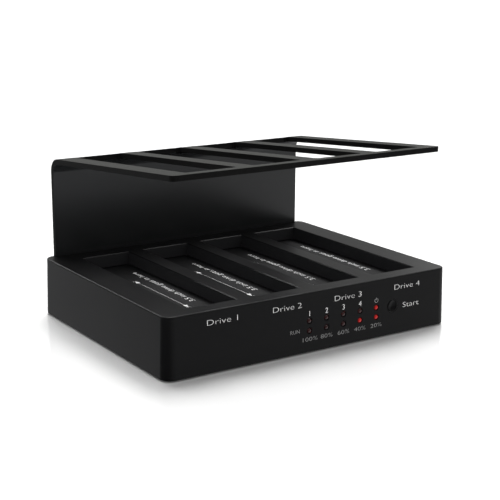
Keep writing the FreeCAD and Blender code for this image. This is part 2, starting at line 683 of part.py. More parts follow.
def rack_front_corners():
    """Cutters that round the rack's two front corners in plan."""
    front = FRONT + RACK_FRONT_INSET
    low = RACK_FRONT_TOP - 3 * RACK_THICKNESS
    high = RACK_FRONT_TOP + RACK_THICKNESS
    cutters = []
    for side in (-1, 1):
        edge = side * RACK_WIDTH / 2
        x = edge - side * RACK_CORNER
        y = front + RACK_CORNER
        block = box(min(x, edge + side), max(x, edge + side), front - 1, y, low, high)
        cutters.append(block.cut(Part.makeCylinder(RACK_CORNER, high - low, vec(x, y, low))))
    return cutters


def drive_rack():
    """Bent plate with one window over each bay and a screwed tongue."""
    half = RACK_WIDTH / 2
    sheet = Part.Face(rack_profile()).extrude(vec(RACK_WIDTH, 0, 0))
    sheet.translate(vec(-half, 0, 0))
    cutters = rack_front_corners()
    window_low = (HOUSING_TOP + RACK_FRONT_TOP) / 2
    for bay in range(BAY_COUNT):
        x0 = bay_left(bay)
        cutters.append(cut_plate(x0, x0 + BAY_WIDTH, BAY_FRONT, BAY_REAR + RACK_REAR_RUN,
                                 RACK_WINDOW_CORNER, window_low, RACK_FRONT_TOP + RACK_THICKNESS))
    for side in (-1, 1):
        inner = side * RACK_TONGUE_WIDTH / 2
        outer = side * (half + 1)
        cutters.append(box(min(inner, outer), max(inner, outer), REAR - 2 * RACK_THICKNESS, REAR + 1,
                           0, RACK_SKIRT_BOTTOM))
    hole = SCREW_RADIUS + SCREW_HOLE_GAP
    head_pocket = SCREW_HEAD_RADIUS + SCREW_HOLE_GAP
    for x in RACK_SCREW_X:
        cutters.append(rod_y(x, REAR - 2 * RACK_THICKNESS, REAR + 1, RACK_SCREW_Z, hole, POST_FLAT_COUNT))
        cutters.append(rod_y(x, REAR - SCREW_HEAD, REAR + 1, RACK_SCREW_Z, head_pocket, LENS_FLAT_COUNT))
    return sheet.cut(cutters)


# --- Boards and what they carry ---------------------------------------------
def flap_swing():
    """How far the wide flap reaches from its hinge line."""
    return BAY_WIDTH - SMALL_FLAP - FLAP_SPLIT + HINGE_INSET


def main_board():
    """Board on the floor plate, slotted where the wide flaps swing through."""
    out = BOARD_EDGE_GAP + WALL
    x = HOUSING_WIDTH / 2 - out
    board = cut_plate(-x, x, FRONT + out, BOARD_REAR, BOARD_CORNER, BOARD_BOTTOM, BOARD_TOP)
    boss_hole = SCREW_RADIUS + BOSS_WALL + BOARD_EDGE_GAP
    small_hole = SMALL_SCREW_RADIUS + SCREW_HOLE_GAP
    cutters = []
    radius = math.hypot(flap_swing(), BARREL_RADIUS) + FLAP_SWEEP_GAP
    reach = math.sqrt(max(0, radius ** 2 - (HINGE_Z - BOARD_TOP) ** 2))
    for bay in range(BAY_COUNT):
        hinge = bay_hinges(bay)[1]
        cutters.append(box(hinge - reach, hinge + BARREL_RADIUS + FLAP_SWEEP_GAP, BAY_FRONT, BAY_REAR,
                           BOARD_BOTTOM - 1, BOARD_TOP + 1))
    for px, py in case_screw_places():
        cutters.append(rod_z(px, py, BOARD_BOTTOM - 1, BOARD_TOP + 1, boss_hole, POST_FLAT_COUNT))
    for px, py in board_screw_places():
        cutters.append(rod_z(px, py, BOARD_BOTTOM - 1, BOARD_TOP + 1, small_hole, POST_FLAT_COUNT))
    return board.cut(cutters)


def drive_socket(bay):
    """Socket for both drive sizes: foot, nose and two keyed slots."""
    x = bay_left(bay) + DRIVE_SIDE_PLAY + CONTACT_LINE
    y = BAY_FRONT + DRIVE_END_PLAY + CONTACT_INSET
    top = HINGE_Z - math.hypot(SMALL_FLAP + HINGE_INSET, BARREL_RADIUS) - FLAP_SWEEP_GAP
    foot = box(x - SOCKET_WIDTH / 2, x + SOCKET_WIDTH / 2, y - SOCKET_LENGTH / 2, y + SOCKET_LENGTH / 2,
               BOARD_TOP, BOARD_TOP + SOCKET_FOOT)
    nose = box(x - SOCKET_NOSE_WIDTH / 2, x + SOCKET_NOSE_WIDTH / 2, y - SOCKET_NOSE_LENGTH / 2,
               y + SOCKET_NOSE_LENGTH / 2, BOARD_TOP, top)
    cutters = []
    data_start = y - SOCKET_NOSE_LENGTH / 2 + 1
    power_start = y + SOCKET_NOSE_LENGTH / 2 - 1 - SOCKET_POWER_LENGTH
    for start, length in ((data_start, SOCKET_DATA_LENGTH), (power_start, SOCKET_POWER_LENGTH)):
        cutters.append(box(x - SOCKET_SLOT / 2, x + SOCKET_SLOT / 2, start, start + length,
                           top - SOCKET_SLOT_DEPTH, top + 1))
        cutters.append(box(x - SOCKET_SLOT / 2, x + SOCKET_SLOT / 2 + SOCKET_KEY, start, start + SOCKET_KEY,
                           top - SOCKET_SLOT_DEPTH, top + 1))
    return foot.fuse(nose).cut(cutters)


def led_board():
    """Upright board behind the front panel."""
    z0 = BOARD_TOP + LED_BOARD_LIFT
    board = box(LED_BOARD_LEFT, LED_BOARD_RIGHT, LED_BOARD_FRONT, LED_BOARD_FRONT + BOARD_THICKNESS,
                z0, LED_BOARD_TOP)
    holes = []
    for x in LED_SCREW_X:
        holes.append(rod_y(x, LED_BOARD_FRONT - 1, LED_BOARD_FRONT + 3, LED_SCREW_Z,
                           SMALL_SCREW_RADIUS + SCREW_HOLE_GAP, POST_FLAT_COUNT))
    return board.cut(holes)


def light(x, z):
    """3 mm light with a tapered lens, from the panel to the upright board."""
    tip = FRONT - wall_spread(z) - LED_PROUD
    body = rod_y(x, tip, LED_BOARD_FRONT, z, LED_RADIUS, LENS_FLAT_COUNT)
    rim = [edge for edge in body.Edges if edge.BoundBox.YMax < tip + LED_PROUD / 2]
    return body.makeChamfer(LED_LENS, LED_RADIUS - LED_TIP_RADIUS, rim).Solids[0]


def front_lights(lit):
    """All lights of one state as a group."""
    group = []
    for column, row, x, z in led_places():
        if ((column, row) in LED_LIT) == lit:
            group.append(light(x, z))
    return Part.makeCompound(group)


def button_flange_start():
    """Y of the front of the button's flange, just behind the wall."""
    return FRONT + WALL + BUTTON_SEAT_GAP


def start_button():
    """Round cap with a flange behind the wall and a stem."""
    face = FRONT - wall_spread(BUTTON_Z) - BUTTON_PROUD
    start = button_flange_start()
    back = start + BUTTON_FLANGE
    stem_end = LED_BOARD_FRONT - TACT_FLOOR - BUTTON_TRAVEL - BUTTON_END_GAP
    cap = rod_y(BUTTON_X, face, back, BUTTON_Z, BUTTON_RADIUS, FOOT_FLAT_COUNT)
    flange = rod_y(BUTTON_X, start, back, BUTTON_Z, BUTTON_FLANGE_RADIUS, FOOT_FLAT_COUNT)
    stem = rod_y(BUTTON_X, start, stem_end, BUTTON_Z, BUTTON_STEM_RADIUS, PIN_FLAT_COUNT)
    return fused([cap, flange, stem])


def button_switch():
    """Tact switch on the upright board; the button's stem enters its well."""
    top = button_flange_start() + BUTTON_FLANGE + BUTTON_TRAVEL + BUTTON_END_GAP / 2
    half = TACT_SIZE / 2
    body = box(BUTTON_X - half, BUTTON_X + half, top, LED_BOARD_FRONT, BUTTON_Z - half, BUTTON_Z + half)
    well = rod_y(BUTTON_X, top - 1, LED_BOARD_FRONT - TACT_FLOOR, BUTTON_Z,
                 BUTTON_STEM_RADIUS + BUTTON_SIDE_GAP, PIN_FLAT_COUNT)
    return body.cut(well)


def board_link():
    """Header that joins the upright board to the main board."""
    y = LED_BOARD_FRONT + BOARD_THICKNESS
    return box(LINK_X - LINK_LENGTH / 2, LINK_X + LINK_LENGTH / 2, y, y + LINK_DEPTH,
               BOARD_TOP, BOARD_TOP + LINK_HEIGHT)


# --- Sockets and switch at the rear -----------------------------------------
def port_mouth(z):
    """Y of a socket's mouth, sunk a little into the drafted rear wall at height z."""
    return REAR + wall_spread(z) - PORT_SINK


def power_jack():
    """Barrel jack with its centre pin."""
    x = side_strip(-1)
    z = BOARD_TOP + JACK_HEIGHT / 2
    mouth = port_mouth(z)
    floor = mouth - JACK_BORE_DEPTH
    half = JACK_WIDTH / 2
    body = box(x - half, x + half, mouth - JACK_DEPTH, mouth, BOARD_TOP, BOARD_TOP + JACK_HEIGHT)
    bore = rod_y(x, floor, mouth + 1, z, clear_of(JACK_BORE_RADIUS, LENS_FLAT_COUNT), LENS_FLAT_COUNT)
    pin = rod_y(x, floor - 1, mouth - JACK_PIN_SINK, z, JACK_PIN_RADIUS, PIN_FLAT_COUNT)
    return body.cut(bore).fuse(pin)


def usb_socket():
    """Flat metal shell with its tongue."""
    half = USB_WIDTH / 2
    z = BOARD_TOP + USB_HEIGHT / 2
    mouth = port_mouth(z)
    back = mouth - USB_DEPTH
    body = box(USB_X - half, USB_X + half, back, mouth, BOARD_TOP, BOARD_TOP + USB_HEIGHT)
    inside = box(USB_X - half + USB_SHELL, USB_X + half - USB_SHELL, back + 2 * USB_SHELL, mouth + 1,
                 BOARD_TOP + USB_SHELL, BOARD_TOP + USB_HEIGHT - USB_SHELL)
    tongue = box(USB_X - half + 3 * USB_SHELL, USB_X + half - 3 * USB_SHELL, back + USB_SHELL,
                 mouth - 2 * USB_SHELL, z - USB_TONGUE / 2, z + USB_TONGUE / 2)
    return body.cut(inside).fuse(tongue)


def power_switch():
    """Body of the rocker switch: bezel, pocket with pin holes, and two blades."""
    x = side_strip(1)
    half_w = SWITCH_BODY_WIDTH / 2
    half_h = SWITCH_BODY_HEIGHT / 2
    bezel = box(x - SWITCH_BEZEL_WIDTH / 2, x + SWITCH_BEZEL_WIDTH / 2, REAR, SWITCH_FACE,
                SWITCH_Z - SWITCH_BEZEL_HEIGHT / 2, SWITCH_Z + SWITCH_BEZEL_HEIGHT / 2)
    back = REAR - SWITCH_BODY_DEPTH
    body = box(x - half_w, x + half_w, back, REAR, SWITCH_Z - half_h, SWITCH_Z + half_h)
    room_w = half_w - SWITCH_WALL
    room_h = half_h - SWITCH_WALL
    pocket = box(x - room_w, x + room_w, SWITCH_FACE - SWITCH_POCKET, SWITCH_FACE + 1,
                 SWITCH_Z - room_h, SWITCH_Z + room_h)
    pin_reach = room_w - ROCKER_SIDE_GAP + ROCKER_PIN_LENGTH + ROCKER_PIN_GAP
    hole_radius = clear_of(ROCKER_PIN_RADIUS + ROCKER_PIN_GAP, PIN_FLAT_COUNT)
    holes = rod_x(x - pin_reach, x + pin_reach, SWITCH_FACE - ROCKER_AXIS_DEPTH, SWITCH_Z, hole_radius,
                  PIN_FLAT_COUNT)
    blades = []
    for z in (SWITCH_Z - half_h / 2, SWITCH_Z + half_h / 2):
        blades.append(box(x - BLADE_WIDTH / 2, x + BLADE_WIDTH / 2, back - BLADE_LENGTH, back,
                          z - BLADE_THICKNESS / 2, z + BLADE_THICKNESS / 2))
    return bezel.fuse([body] + blades).cut([pocket, holes])


def power_rocker():
    """Rocker at rest in its off position, tilted about its pins."""
    x = side_strip(1)
    half = SWITCH_BODY_WIDTH / 2 - SWITCH_WALL - ROCKER_SIDE_GAP
    axis_y = SWITCH_FACE - ROCKER_AXIS_DEPTH
    wing = ROCKER_MIDDLE + ROCKER_HALF_LENGTH * math.tan(math.radians(ROCKER_TILT_DEG))
    profile = ((-ROCKER_HALF_LENGTH, -ROCKER_MIDDLE), (-ROCKER_HALF_LENGTH, wing), (0, ROCKER_MIDDLE),
               (ROCKER_HALF_LENGTH, wing), (ROCKER_HALF_LENGTH, -ROCKER_MIDDLE))
    points = [vec(x - half, axis_y + out, SWITCH_Z + along) for along, out in profile]
    paddle = Part.Face(Part.makePolygon(points + points[:1])).extrude(vec(2 * half, 0, 0))
    reach = half + ROCKER_PIN_LENGTH
    pins = rod_x(x - reach, x + reach, axis_y, SWITCH_Z, ROCKER_PIN_RADIUS, PIN_FLAT_COUNT)
    rocker = fused([paddle, pins])
    rocker.rotate(vec(x, axis_y, SWITCH_Z), vec(1, 0, 0), ROCKER_TILT_DEG)
    return rocker


# --- Small parts on the main board ------------------------------------------
def controller_chips():
    """Flat packages in the side strips."""
    half = CHIP_SIZE / 2
    packages = []
    for side in (-1, 1):
        for inset in CHIP_INSETS:
            x = side_strip(side)
            y = FRONT + inset
            packages.append(box(x - half, x + half, y - half, y + half, BOARD_TOP, BOARD_TOP + CHIP_HEIGHT))
    return Part.makeCompound(packages)


def capacitors():
    """Upright cans in the strip behind the bays."""
    cans = []
    for spot in CAPACITOR_SPOTS:
        x = spot * HOUSING_WIDTH / 2
        cans.append(rod_z(x, rear_strip(), BOARD_TOP, BOARD_TOP + CAPACITOR_HEIGHT, CAPACITOR_RADIUS,
                          LENS_FLAT_COUNT))
    return Part.makeCompound(cans)


def power_coils():
    """Square shielded coils of the supply."""
    half = COIL_SIZE / 2
    y = FRONT + COIL_INSET
    coils = []
    for side in (-1, 1):
        x = side_strip(side)
        coils.append(cut_plate(x - half, x + half, y - half, y + half, COIL_CORNER, BOARD_TOP,
                               BOARD_TOP + COIL_HEIGHT))
    return Part.makeCompound(coils)


# --- Fasteners and feet -----------------------------------------------------
def case_screws():
    """Four screws from below, through the floor plate into the housing's posts."""
    head = COVER_THICKNESS / 2
    seat = SKIRT_BOTTOM + head
    up = vec(0, 0, 1)
    return Part.makeCompound([screw(x, y, seat, up, SCREW_LENGTH, SCREW_RADIUS, SCREW_HEAD_RADIUS, head)
                              for x, y in case_screw_places()])


def rack_screws():
    """Four screws through the rack's tongue into the rear wall."""
    seat = REAR - SCREW_HEAD
    forward = vec(0, -1, 0)
    return Part.makeCompound([screw(x, seat, RACK_SCREW_Z, forward, SHORT_SCREW_LENGTH, SCREW_RADIUS,
                                    SCREW_HEAD_RADIUS, SCREW_HEAD) for x in RACK_SCREW_X])


def board_screws():
    """Four small screws that hold the main board on its standoffs."""
    length = BOARD_TOP - SKIRT_BOTTOM - COVER_THICKNESS / 2
    down = vec(0, 0, -1)
    return Part.makeCompound([screw(x, y, BOARD_TOP, down, length, SMALL_SCREW_RADIUS, SMALL_HEAD_RADIUS,
                                    SMALL_HEAD) for x, y in board_screw_places()])


def led_board_screws():
    """Two small screws that hold the upright board on its posts."""
    seat = LED_BOARD_FRONT + BOARD_THICKNESS
    length = BOARD_THICKNESS + LED_BOARD_SETBACK - WALL
    forward = vec(0, -1, 0)
    return Part.makeCompound([screw(x, seat, LED_SCREW_Z, forward, length, SMALL_SCREW_RADIUS,
                                    SMALL_HEAD_RADIUS, SMALL_HEAD) for x in LED_SCREW_X])


def rubber_feet():
    """Four discs pressed into the floor plate's pockets."""
    feet = []
    for x, y in foot_places():
        feet.append(rod_z(x, y, 0, SKIRT_BOTTOM + FOOT_POCKET, FOOT_RADIUS, FOOT_FLAT_COUNT))
    return Part.makeCompound(feet)


def main():
    """Build every piece and write one STEP file for each."""
    pieces = {
        "top_housing": top_housing(),
        "bottom_cover": bottom_cover(),
        "drive_rack": drive_rack(),
        "main_board": main_board(),
        "led_board": led_board(),
        "lights_lit": front_lights(True),
        "lights_dark": front_lights(False),
        "start_button": start_button(),
        "button_switch": button_switch(),
        "board_link": board_link(),
        "power_jack": power_jack(),
        "usb_socket": usb_socket(),
        "power_switch": power_switch(),
        "power_rocker": power_rocker(),
        "flap_hinge_rods": hinge_rods(),
        "controller_chips": controller_chips(),
        "capacitors": capacitors(),
        "power_coils": power_coils(),
        "case_screws": case_screws(),
        "rack_screws": rack_screws(),
        "board_screws": board_screws(),
        "led_board_screws": led_board_screws(),
        "rubber_feet": rubber_feet(),
    }
    for bay in range(BAY_COUNT):
        pieces["drive_socket_%d" % (bay + 1)] = drive_socket(bay)
        for side, name in ((-1, "small"), (1, "large")):
            pieces["%s_flap_%d" % (name, bay + 1)] = flap(bay, side)
            pieces["%s_flap_spring_%d" % (name, bay + 1)] = flap_spring(bay, side)
    os.makedirs("parts", exist_ok=True)
    for name, shape in pieces.items():
        shape.exportStep("parts/%s.step" % name)
        print(name, len(shape.Solids), round(shape.Volume, 1), shape.isValid())


main()
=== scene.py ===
"""Dressed model of a four-bay drive duplicator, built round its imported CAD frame.

Every finish is a small class that builds one procedural material. Every sub-assembly is a
class that holds its sizes, builds its own meshes and dresses the CAD pieces it owns.
Lengths are in metres, as the frame is; MM turns millimetres into them.
"""

import logging
import math
from dataclasses import dataclass, field
from enum import Enum
from typing import Callable, Iterable

import bmesh
import bpy
from mathutils import Matrix, Vector


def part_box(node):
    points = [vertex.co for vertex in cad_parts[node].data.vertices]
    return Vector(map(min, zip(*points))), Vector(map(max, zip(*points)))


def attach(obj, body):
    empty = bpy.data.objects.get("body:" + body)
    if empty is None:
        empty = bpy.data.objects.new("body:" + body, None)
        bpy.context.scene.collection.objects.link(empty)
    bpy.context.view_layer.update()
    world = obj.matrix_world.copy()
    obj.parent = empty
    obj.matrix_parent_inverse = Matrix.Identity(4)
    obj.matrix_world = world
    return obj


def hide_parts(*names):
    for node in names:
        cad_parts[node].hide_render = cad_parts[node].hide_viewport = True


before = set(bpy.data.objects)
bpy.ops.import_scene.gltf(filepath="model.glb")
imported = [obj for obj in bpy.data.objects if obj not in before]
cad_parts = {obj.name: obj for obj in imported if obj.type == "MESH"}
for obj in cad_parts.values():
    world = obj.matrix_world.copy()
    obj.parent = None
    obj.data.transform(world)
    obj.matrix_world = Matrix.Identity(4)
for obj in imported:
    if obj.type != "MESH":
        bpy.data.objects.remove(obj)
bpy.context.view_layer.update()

LOG = logging.getLogger("duplicator")
MM = 0.001
WELD = 0.0005 * MM              # points nearer than this are one
FLAT_MERGE_DEG = 0.6            # faces within this angle are one flat
SHARP_EDGE_DEG = 40.0           # edges sharper than this are broken
Node = bpy.types.ShaderNode
Socket = bpy.types.NodeSocket
Colour = tuple[float, float, float, float]


def linear(hex_colour: str) -> Colour:
    """Turn an sRGB hex colour into the linear values that shaders take.

    Args:
        hex_colour: Six hex digits, such as "1a1a1c".

    Returns:
        Linear red, green, blue and an alpha of one.
    """
    channels = [int(hex_colour[start:start + 2], 16) / 255 for start in (0, 2, 4)]
    red, green, blue = [value / 12.92 if value <= 0.04045 else ((value + 0.055) / 1.055) ** 2.4
                        for value in channels]
    return red, green, blue, 1.0


def add_node(material: bpy.types.Material | bpy.types.World, kind: str,
             links: dict[str, Socket] | None = None, feeds: dict[str, Socket] | None = None,
             **settings: object) -> Node:
    """Add a shader node with its settings, what feeds it and what it feeds.

    Args:
        material: Material or world that gets the node.
        kind: Blender's name of the node type.
        links: Output sockets to join, by the name or the number of this node's input.
        feeds: Input sockets of other nodes, by the name or the number of this node's output.
        settings: Node properties by name; a name that starts with "in_" sets an input's
            value instead, with "_" standing for a space.

    Returns:
        The new node.
    """
    added = material.node_tree.nodes.new(kind)
    for name, value in settings.items():
        if name.startswith("in_"):
            key = name[3:].replace("_", " ")
            added.inputs[int(key) if key.isdigit() else key].default_value = value
        else:
            setattr(added, name, value)
    for key, output in (links or {}).items():
        material.node_tree.links.new(output, added.inputs[int(key) if key.isdigit() else key])
    for key, target in (feeds or {}).items():
        material.node_tree.links.new(added.outputs[int(key) if key.isdigit() else key], target)
    return added


# --- Finishes ---------------------------------------------------------------
@dataclass(frozen=True)
class Finish:
    """One real material with the way its surface was made.

    Args:
        name: Name of the Blender material.
        colour: Base colour, as an sRGB hex value.
        roughness: How much the surface spreads its reflections, at its middle.
    """

    name: str
    colour: str
    roughness: float

    def material(self) -> bpy.types.Material:
        """Return this finish's material, built at its first use."""
        return bpy.data.materials.get(self.name) or self.build()

    def build(self) -> bpy.types.Material:
        """Build the material; each kind of finish has its own way."""
        raise NotImplementedError

    def start(self) -> tuple[bpy.types.Material, Node, Socket]:
        """Make the material with its shader and the coordinates that patterns use.

        Returns:
            The material, its Principled shader and a socket with object coordinates.
        """
        material = bpy.data.materials.new(self.name)
        material.use_nodes = True
        shader = material.node_tree.nodes["Principled BSDF"]
        shader.inputs["Base Color"].default_value = linear(self.colour)
        shader.inputs["Roughness"].default_value = self.roughness
        coordinates = add_node(material, "ShaderNodeTexCoord")
        return material, shader, coordinates.outputs["Object"]

    def mark(self, material: bpy.types.Material, shader: Node, vector: Socket, size_mm: float,
             depth_mm: float = 0.0, gloss_spread: float = 0.0, detail: float = 2.0) -> None:
        """Let an uneven pattern raise the surface, change its gloss, or both.

        Args:
            material: The material.
            shader: Its Principled shader.
            vector: Coordinates that the pattern follows.
            size_mm: Size of one lump of the pattern.
            depth_mm: Height of the lumps; zero leaves the surface level.
            gloss_spread: How far they differ in roughness, to each side; zero leaves it even.
            detail: How many finer layers lie on the lumps.
        """
        lumps = add_node(material, "ShaderNodeTexNoise", {"Vector": vector},
                         in_Scale=1 / (size_mm * MM), in_Detail=detail)
        if depth_mm:
            add_node(material, "ShaderNodeBump", {"Height": lumps.outputs["Fac"]},
                     {"Normal": shader.inputs["Normal"]}, in_Distance=depth_mm * MM)
        if gloss_spread:
            add_node(material, "ShaderNodeMapRange", {"Value": lumps.outputs["Fac"]},
                     {"Result": shader.inputs["Roughness"]},
                     in_To_Min=self.roughness - gloss_spread, in_To_Max=self.roughness + gloss_spread)


@dataclass(frozen=True)
class MouldedPlastic(Finish):
    """Injection-moulded plastic from a spark-eroded tool.

    The eroded grain breaks reflections into a soft sheen, and slow changes of gloss show
    where the melt cooled later. A real grain of 0.05 mm is too fine to show, so it is
    drawn at grain_mm.

    Args:
        grain_mm: Size of one lump of the grain.
        grain_depth_mm: Height of the grain.
        specular: Strength of the clear reflection; 0.5 is that of plain plastic.
        cooling_mm: Width of the patches that cooled at one time.
        gloss_spread: How far the patches differ in roughness, to each side.
        ior: Index of refraction.
    """

    grain_mm: float = 0.35
    grain_depth_mm: float = 0.012
    specular: float = 0.5
    cooling_mm: float = 45.0
    gloss_spread: float = 0.05
    ior: float = 1.53

    def build(self) -> bpy.types.Material:
        """Build the plastic with its grain and its slow change of gloss.

        Returns:
            The finished material.
        """
        material, shader, coordinates = self.start()
        shader.inputs["IOR"].default_value = self.ior
        shader.inputs["Specular IOR Level"].default_value = self.specular
        self.mark(material, shader, coordinates, self.grain_mm, depth_mm=self.grain_depth_mm)
        self.mark(material, shader, coordinates, self.cooling_mm, gloss_spread=self.gloss_spread, detail=1.0)
        return material


@dataclass(frozen=True)
class PowderCoat(Finish):
    """Satin powder coat on sheet steel.

    The powder melts into a skin with a faint orange peel, which makes straight
    reflections waver.

    Args:
        peel_mm: Length of the orange peel's waves.
        peel_depth_mm: Their height.
        specular: Strength of the clear reflection; 0.5 is that of plain paint.
        speckle_mm: Size of the specks that differ in gloss.
        gloss_spread: How far the specks differ in roughness, to each side.
        ior: Index of refraction.
    """

    peel_mm: float = 1.5
    peel_depth_mm: float = 0.01
    specular: float = 0.5
    speckle_mm: float = 0.6
    gloss_spread: float = 0.04
    ior: float = 1.5

    def build(self) -> bpy.types.Material:
        """Build the coat with its orange peel and a fine speckle of gloss.

        Returns:
            The finished material.
        """
        material, shader, coordinates = self.start()
        shader.inputs["IOR"].default_value = self.ior
        shader.inputs["Specular IOR Level"].default_value = self.specular
        self.mark(material, shader, coordinates, self.peel_mm, depth_mm=self.peel_depth_mm)
        self.mark(material, shader, coordinates, self.speckle_mm, gloss_spread=self.gloss_spread)
        return material


@dataclass(frozen=True)
class Metal(Finish):
    """Metal with fine parallel lines.

    Drawing, rolling or turning leaves lines that stretch the reflections. Real ones are
    under 0.02 mm apart, too fine to show, so they are drawn at line_mm.

    Args:
        line_mm: Distance from one line to the next.
        stretch: Scale of the pattern along each axis; a small value draws it out.
        line_depth_mm: Depth of the lines.
        gloss_spread: How far the lines differ in roughness, to each side.
    """

    line_mm: float = 0.12
    stretch: tuple[float, float, float] = (1.0, 0.08, 1.0)
    line_depth_mm: float = 0.002
    gloss_spread: float = 0.08

    def build(self) -> bpy.types.Material:
        """Build the metal with its drawn-out lines.

        Returns:
            The finished material.
        """
        material, shader, coordinates = self.start()
        shader.inputs["Metallic"].default_value = 1.0
        drawn = add_node(material, "ShaderNodeMapping", {"Vector": coordinates}, in_Scale=self.stretch)
        self.mark(material, shader, drawn.outputs["Vector"], self.line_mm, self.line_depth_mm,
                  self.gloss_spread)
        return material


@dataclass(frozen=True)
class SolderMask(Finish):
    """Glass-epoxy board under solder mask.

    The mask is glossy, and the copper tracks under it show as a lighter green net of
    lines.

    Args:
        track_colour: Colour of the mask over copper, as an sRGB hex value.
        pitch_mm: Distance from one track to the next.
        track_share: Width of a track, as a share of the pitch.
        run_pitches: Length of a track between two crossings, in pitches.
        row_offset: Shift of the crossings from one row to the next.
        track_depth_mm: Height of the copper under the mask.
        ior: Index of refraction.
    """

    track_colour: str = "1f6b45"
    pitch_mm: float = 1.27
    track_share: float = 0.18
    run_pitches: float = 9.0
    row_offset: float = 0.37
    track_depth_mm: float = 0.03
    ior: float = 1.55

    def build(self) -> bpy.types.Material:
        """Build the board with tracks under a clear gloss.

        Returns:
            The finished material.
        """
        material, shader, coordinates = self.start()
        shader.inputs["IOR"].default_value = self.ior
        tracks = add_node(material, "ShaderNodeTexBrick", {"Vector": coordinates},
                          {"Color": shader.inputs["Base Color"]},
                          in_Scale=1.0, in_Brick_Width=self.run_pitches * self.pitch_mm * MM,
                          in_Row_Height=self.pitch_mm * MM, in_Mortar_Smooth=0.0,
                          in_Mortar_Size=self.track_share * self.pitch_mm * MM,
                          in_Color1=linear(self.colour), in_Color2=linear(self.colour),
                          in_Mortar=linear(self.track_colour), offset=self.row_offset)
        add_node(material, "ShaderNodeBump", {"Height": tracks.outputs["Fac"]},
                 {"Normal": shader.inputs["Normal"]}, in_Distance=self.track_depth_mm * MM)
        return material


@dataclass(frozen=True)
class LightResin(Finish):
    """Red epoxy of an indicator light, cast in a polished cup.

    The resin has a small sharp highlight, and a lit chip fills the tip of the lens more
    than its rim.

    Args:
        glow: Strength of the light that leaves the tip.
        rim_glow: Strength of the light that leaves the side.
        glow_colour: Its colour.
        tip_start: How far a face must point to the front to glow more than the side.
        specular: Strength of the clear reflection.
        filler_mm: Size of the lumps of filler in the resin.
        filler_depth_mm: Their height.
        ior: Index of refraction.
    """

    glow: float = 0.0
    rim_glow: float = 0.0
    glow_colour: str = "ff1a10"
    tip_start: float = 0.6
    specular: float = 0.3
    filler_mm: float = 0.5
    filler_depth_mm: float = 0.004
    ior: float = 1.54

    def build(self) -> bpy.types.Material:
        """Build the resin, brightest where the lens faces the front.

        Returns:
            The finished material.
        """
        material, shader, coordinates = self.start()
        shader.inputs["IOR"].default_value = self.ior
        shader.inputs["Specular IOR Level"].default_value = self.specular
        shader.inputs["Emission Color"].default_value = linear(self.glow_colour)
        self.mark(material, shader, coordinates, self.filler_mm, depth_mm=self.filler_depth_mm)
        facing = add_node(material, "ShaderNodeVectorMath",
                          {"0": add_node(material, "ShaderNodeNewGeometry").outputs["Normal"]},
                          operation="DOT_PRODUCT", in_1=(0, -1, 0))
        add_node(material, "ShaderNodeMapRange", {"Value": facing.outputs["Value"]},
                 {"Result": shader.inputs["Emission Strength"]},
                 interpolation_type="SMOOTHSTEP", in_From_Min=self.tip_start,
                 in_To_Min=self.rim_glow, in_To_Max=self.glow)
        return material


@dataclass(frozen=True)
class PrintInk(Finish):
    """Screen-printed ink: an even matt film with slightly uneven cover.

    Args:
        mottle_mm: Size of the patches that are covered more or less.
        mottle_depth_mm: How much thicker the film is there.
        gloss_spread: How far they differ in roughness, to each side.
    """

    mottle_mm: float = 0.3
    mottle_depth_mm: float = 0.004
    gloss_spread: float = 0.06

    def build(self) -> bpy.types.Material:
        """Build the ink with a faint mottle.

        Returns:
            The finished material.
        """
        material, shader, coordinates = self.start()
        self.mark(material, shader, coordinates, self.mottle_mm, self.mottle_depth_mm, self.gloss_spread)
        return material


@dataclass(frozen=True)
class AcrylicSheet(Finish):
    """Polished white acrylic sheet: matt white with a weak, clear mirror image.

    Args:
        mirror: Share of light that the polished face reflects.
        polish_mm: Width of the patches that differ in polish.
        dullest: Roughness of the mirror image at the least polished spot.
    """

    mirror: float = 0.33
    polish_mm: float = 60.0
    dullest: float = 0.02

    def build(self) -> bpy.types.Material:
        """Build the sheet with a faint unevenness of its polish.

        Returns:
            The finished material.
        """
        material, shader, coordinates = self.start()
        shader.inputs["Specular IOR Level"].default_value = 0.0
        polish = add_node(material, "ShaderNodeTexNoise", {"Vector": coordinates},
                          in_Scale=1 / (self.polish_mm * MM))
        even = add_node(material, "ShaderNodeMapRange", {"Value": polish.outputs["Fac"]},
                        in_To_Min=0.0, in_To_Max=self.dullest)
        image = add_node(material, "ShaderNodeBsdfGlossy", {"Roughness": even.outputs["Result"]},
                         in_Color=linear(self.colour))
        surface = material.node_tree.nodes["Material Output"].inputs["Surface"]
        add_node(material, "ShaderNodeMixShader", {"1": shader.outputs["BSDF"], "2": image.outputs["BSDF"]},
                 {"0": surface}, in_0=self.mirror)
        return material


# ABS from a spark-eroded tool: a dark satin skin that only shows at a glancing angle.
HOUSING_ABS = MouldedPlastic("abs_moulded_satin_black", "0f0f10", 0.34, specular=0.08)
# Inside the bays the tool was left as eroded: a dry skin. Its colour is a shade greyer than the housing's:
# painted fill light that lifts the shade on the walls of the bays.
POCKET_ABS_PAINTED_FILL = MouldedPlastic("abs_moulded_dry_black_painted_fill", "2e2e30", 0.6, grain_mm=0.5, grain_depth_mm=0.02,
                            specular=0.1)
# The same plastic with a coarser grain, so the flaps look duller than the housing.
FLAP_ABS = MouldedPlastic("abs_moulded_grained_black", "0e0e0f", 0.5, grain_mm=0.5, specular=0.10)
# The floor plate comes from a plain tool: its heavy grain looks rough and matt.
FLOOR_ABS = MouldedPlastic("abs_moulded_coarse_black", "0e0e0f", 0.55, grain_mm=0.9, grain_depth_mm=0.04)
# A polished button: the dish shows a small clear highlight.
BUTTON_ABS = MouldedPlastic("abs_moulded_gloss_black", "0c0c0d", 0.28, grain_mm=0.6, grain_depth_mm=0.004,
                            specular=0.08)
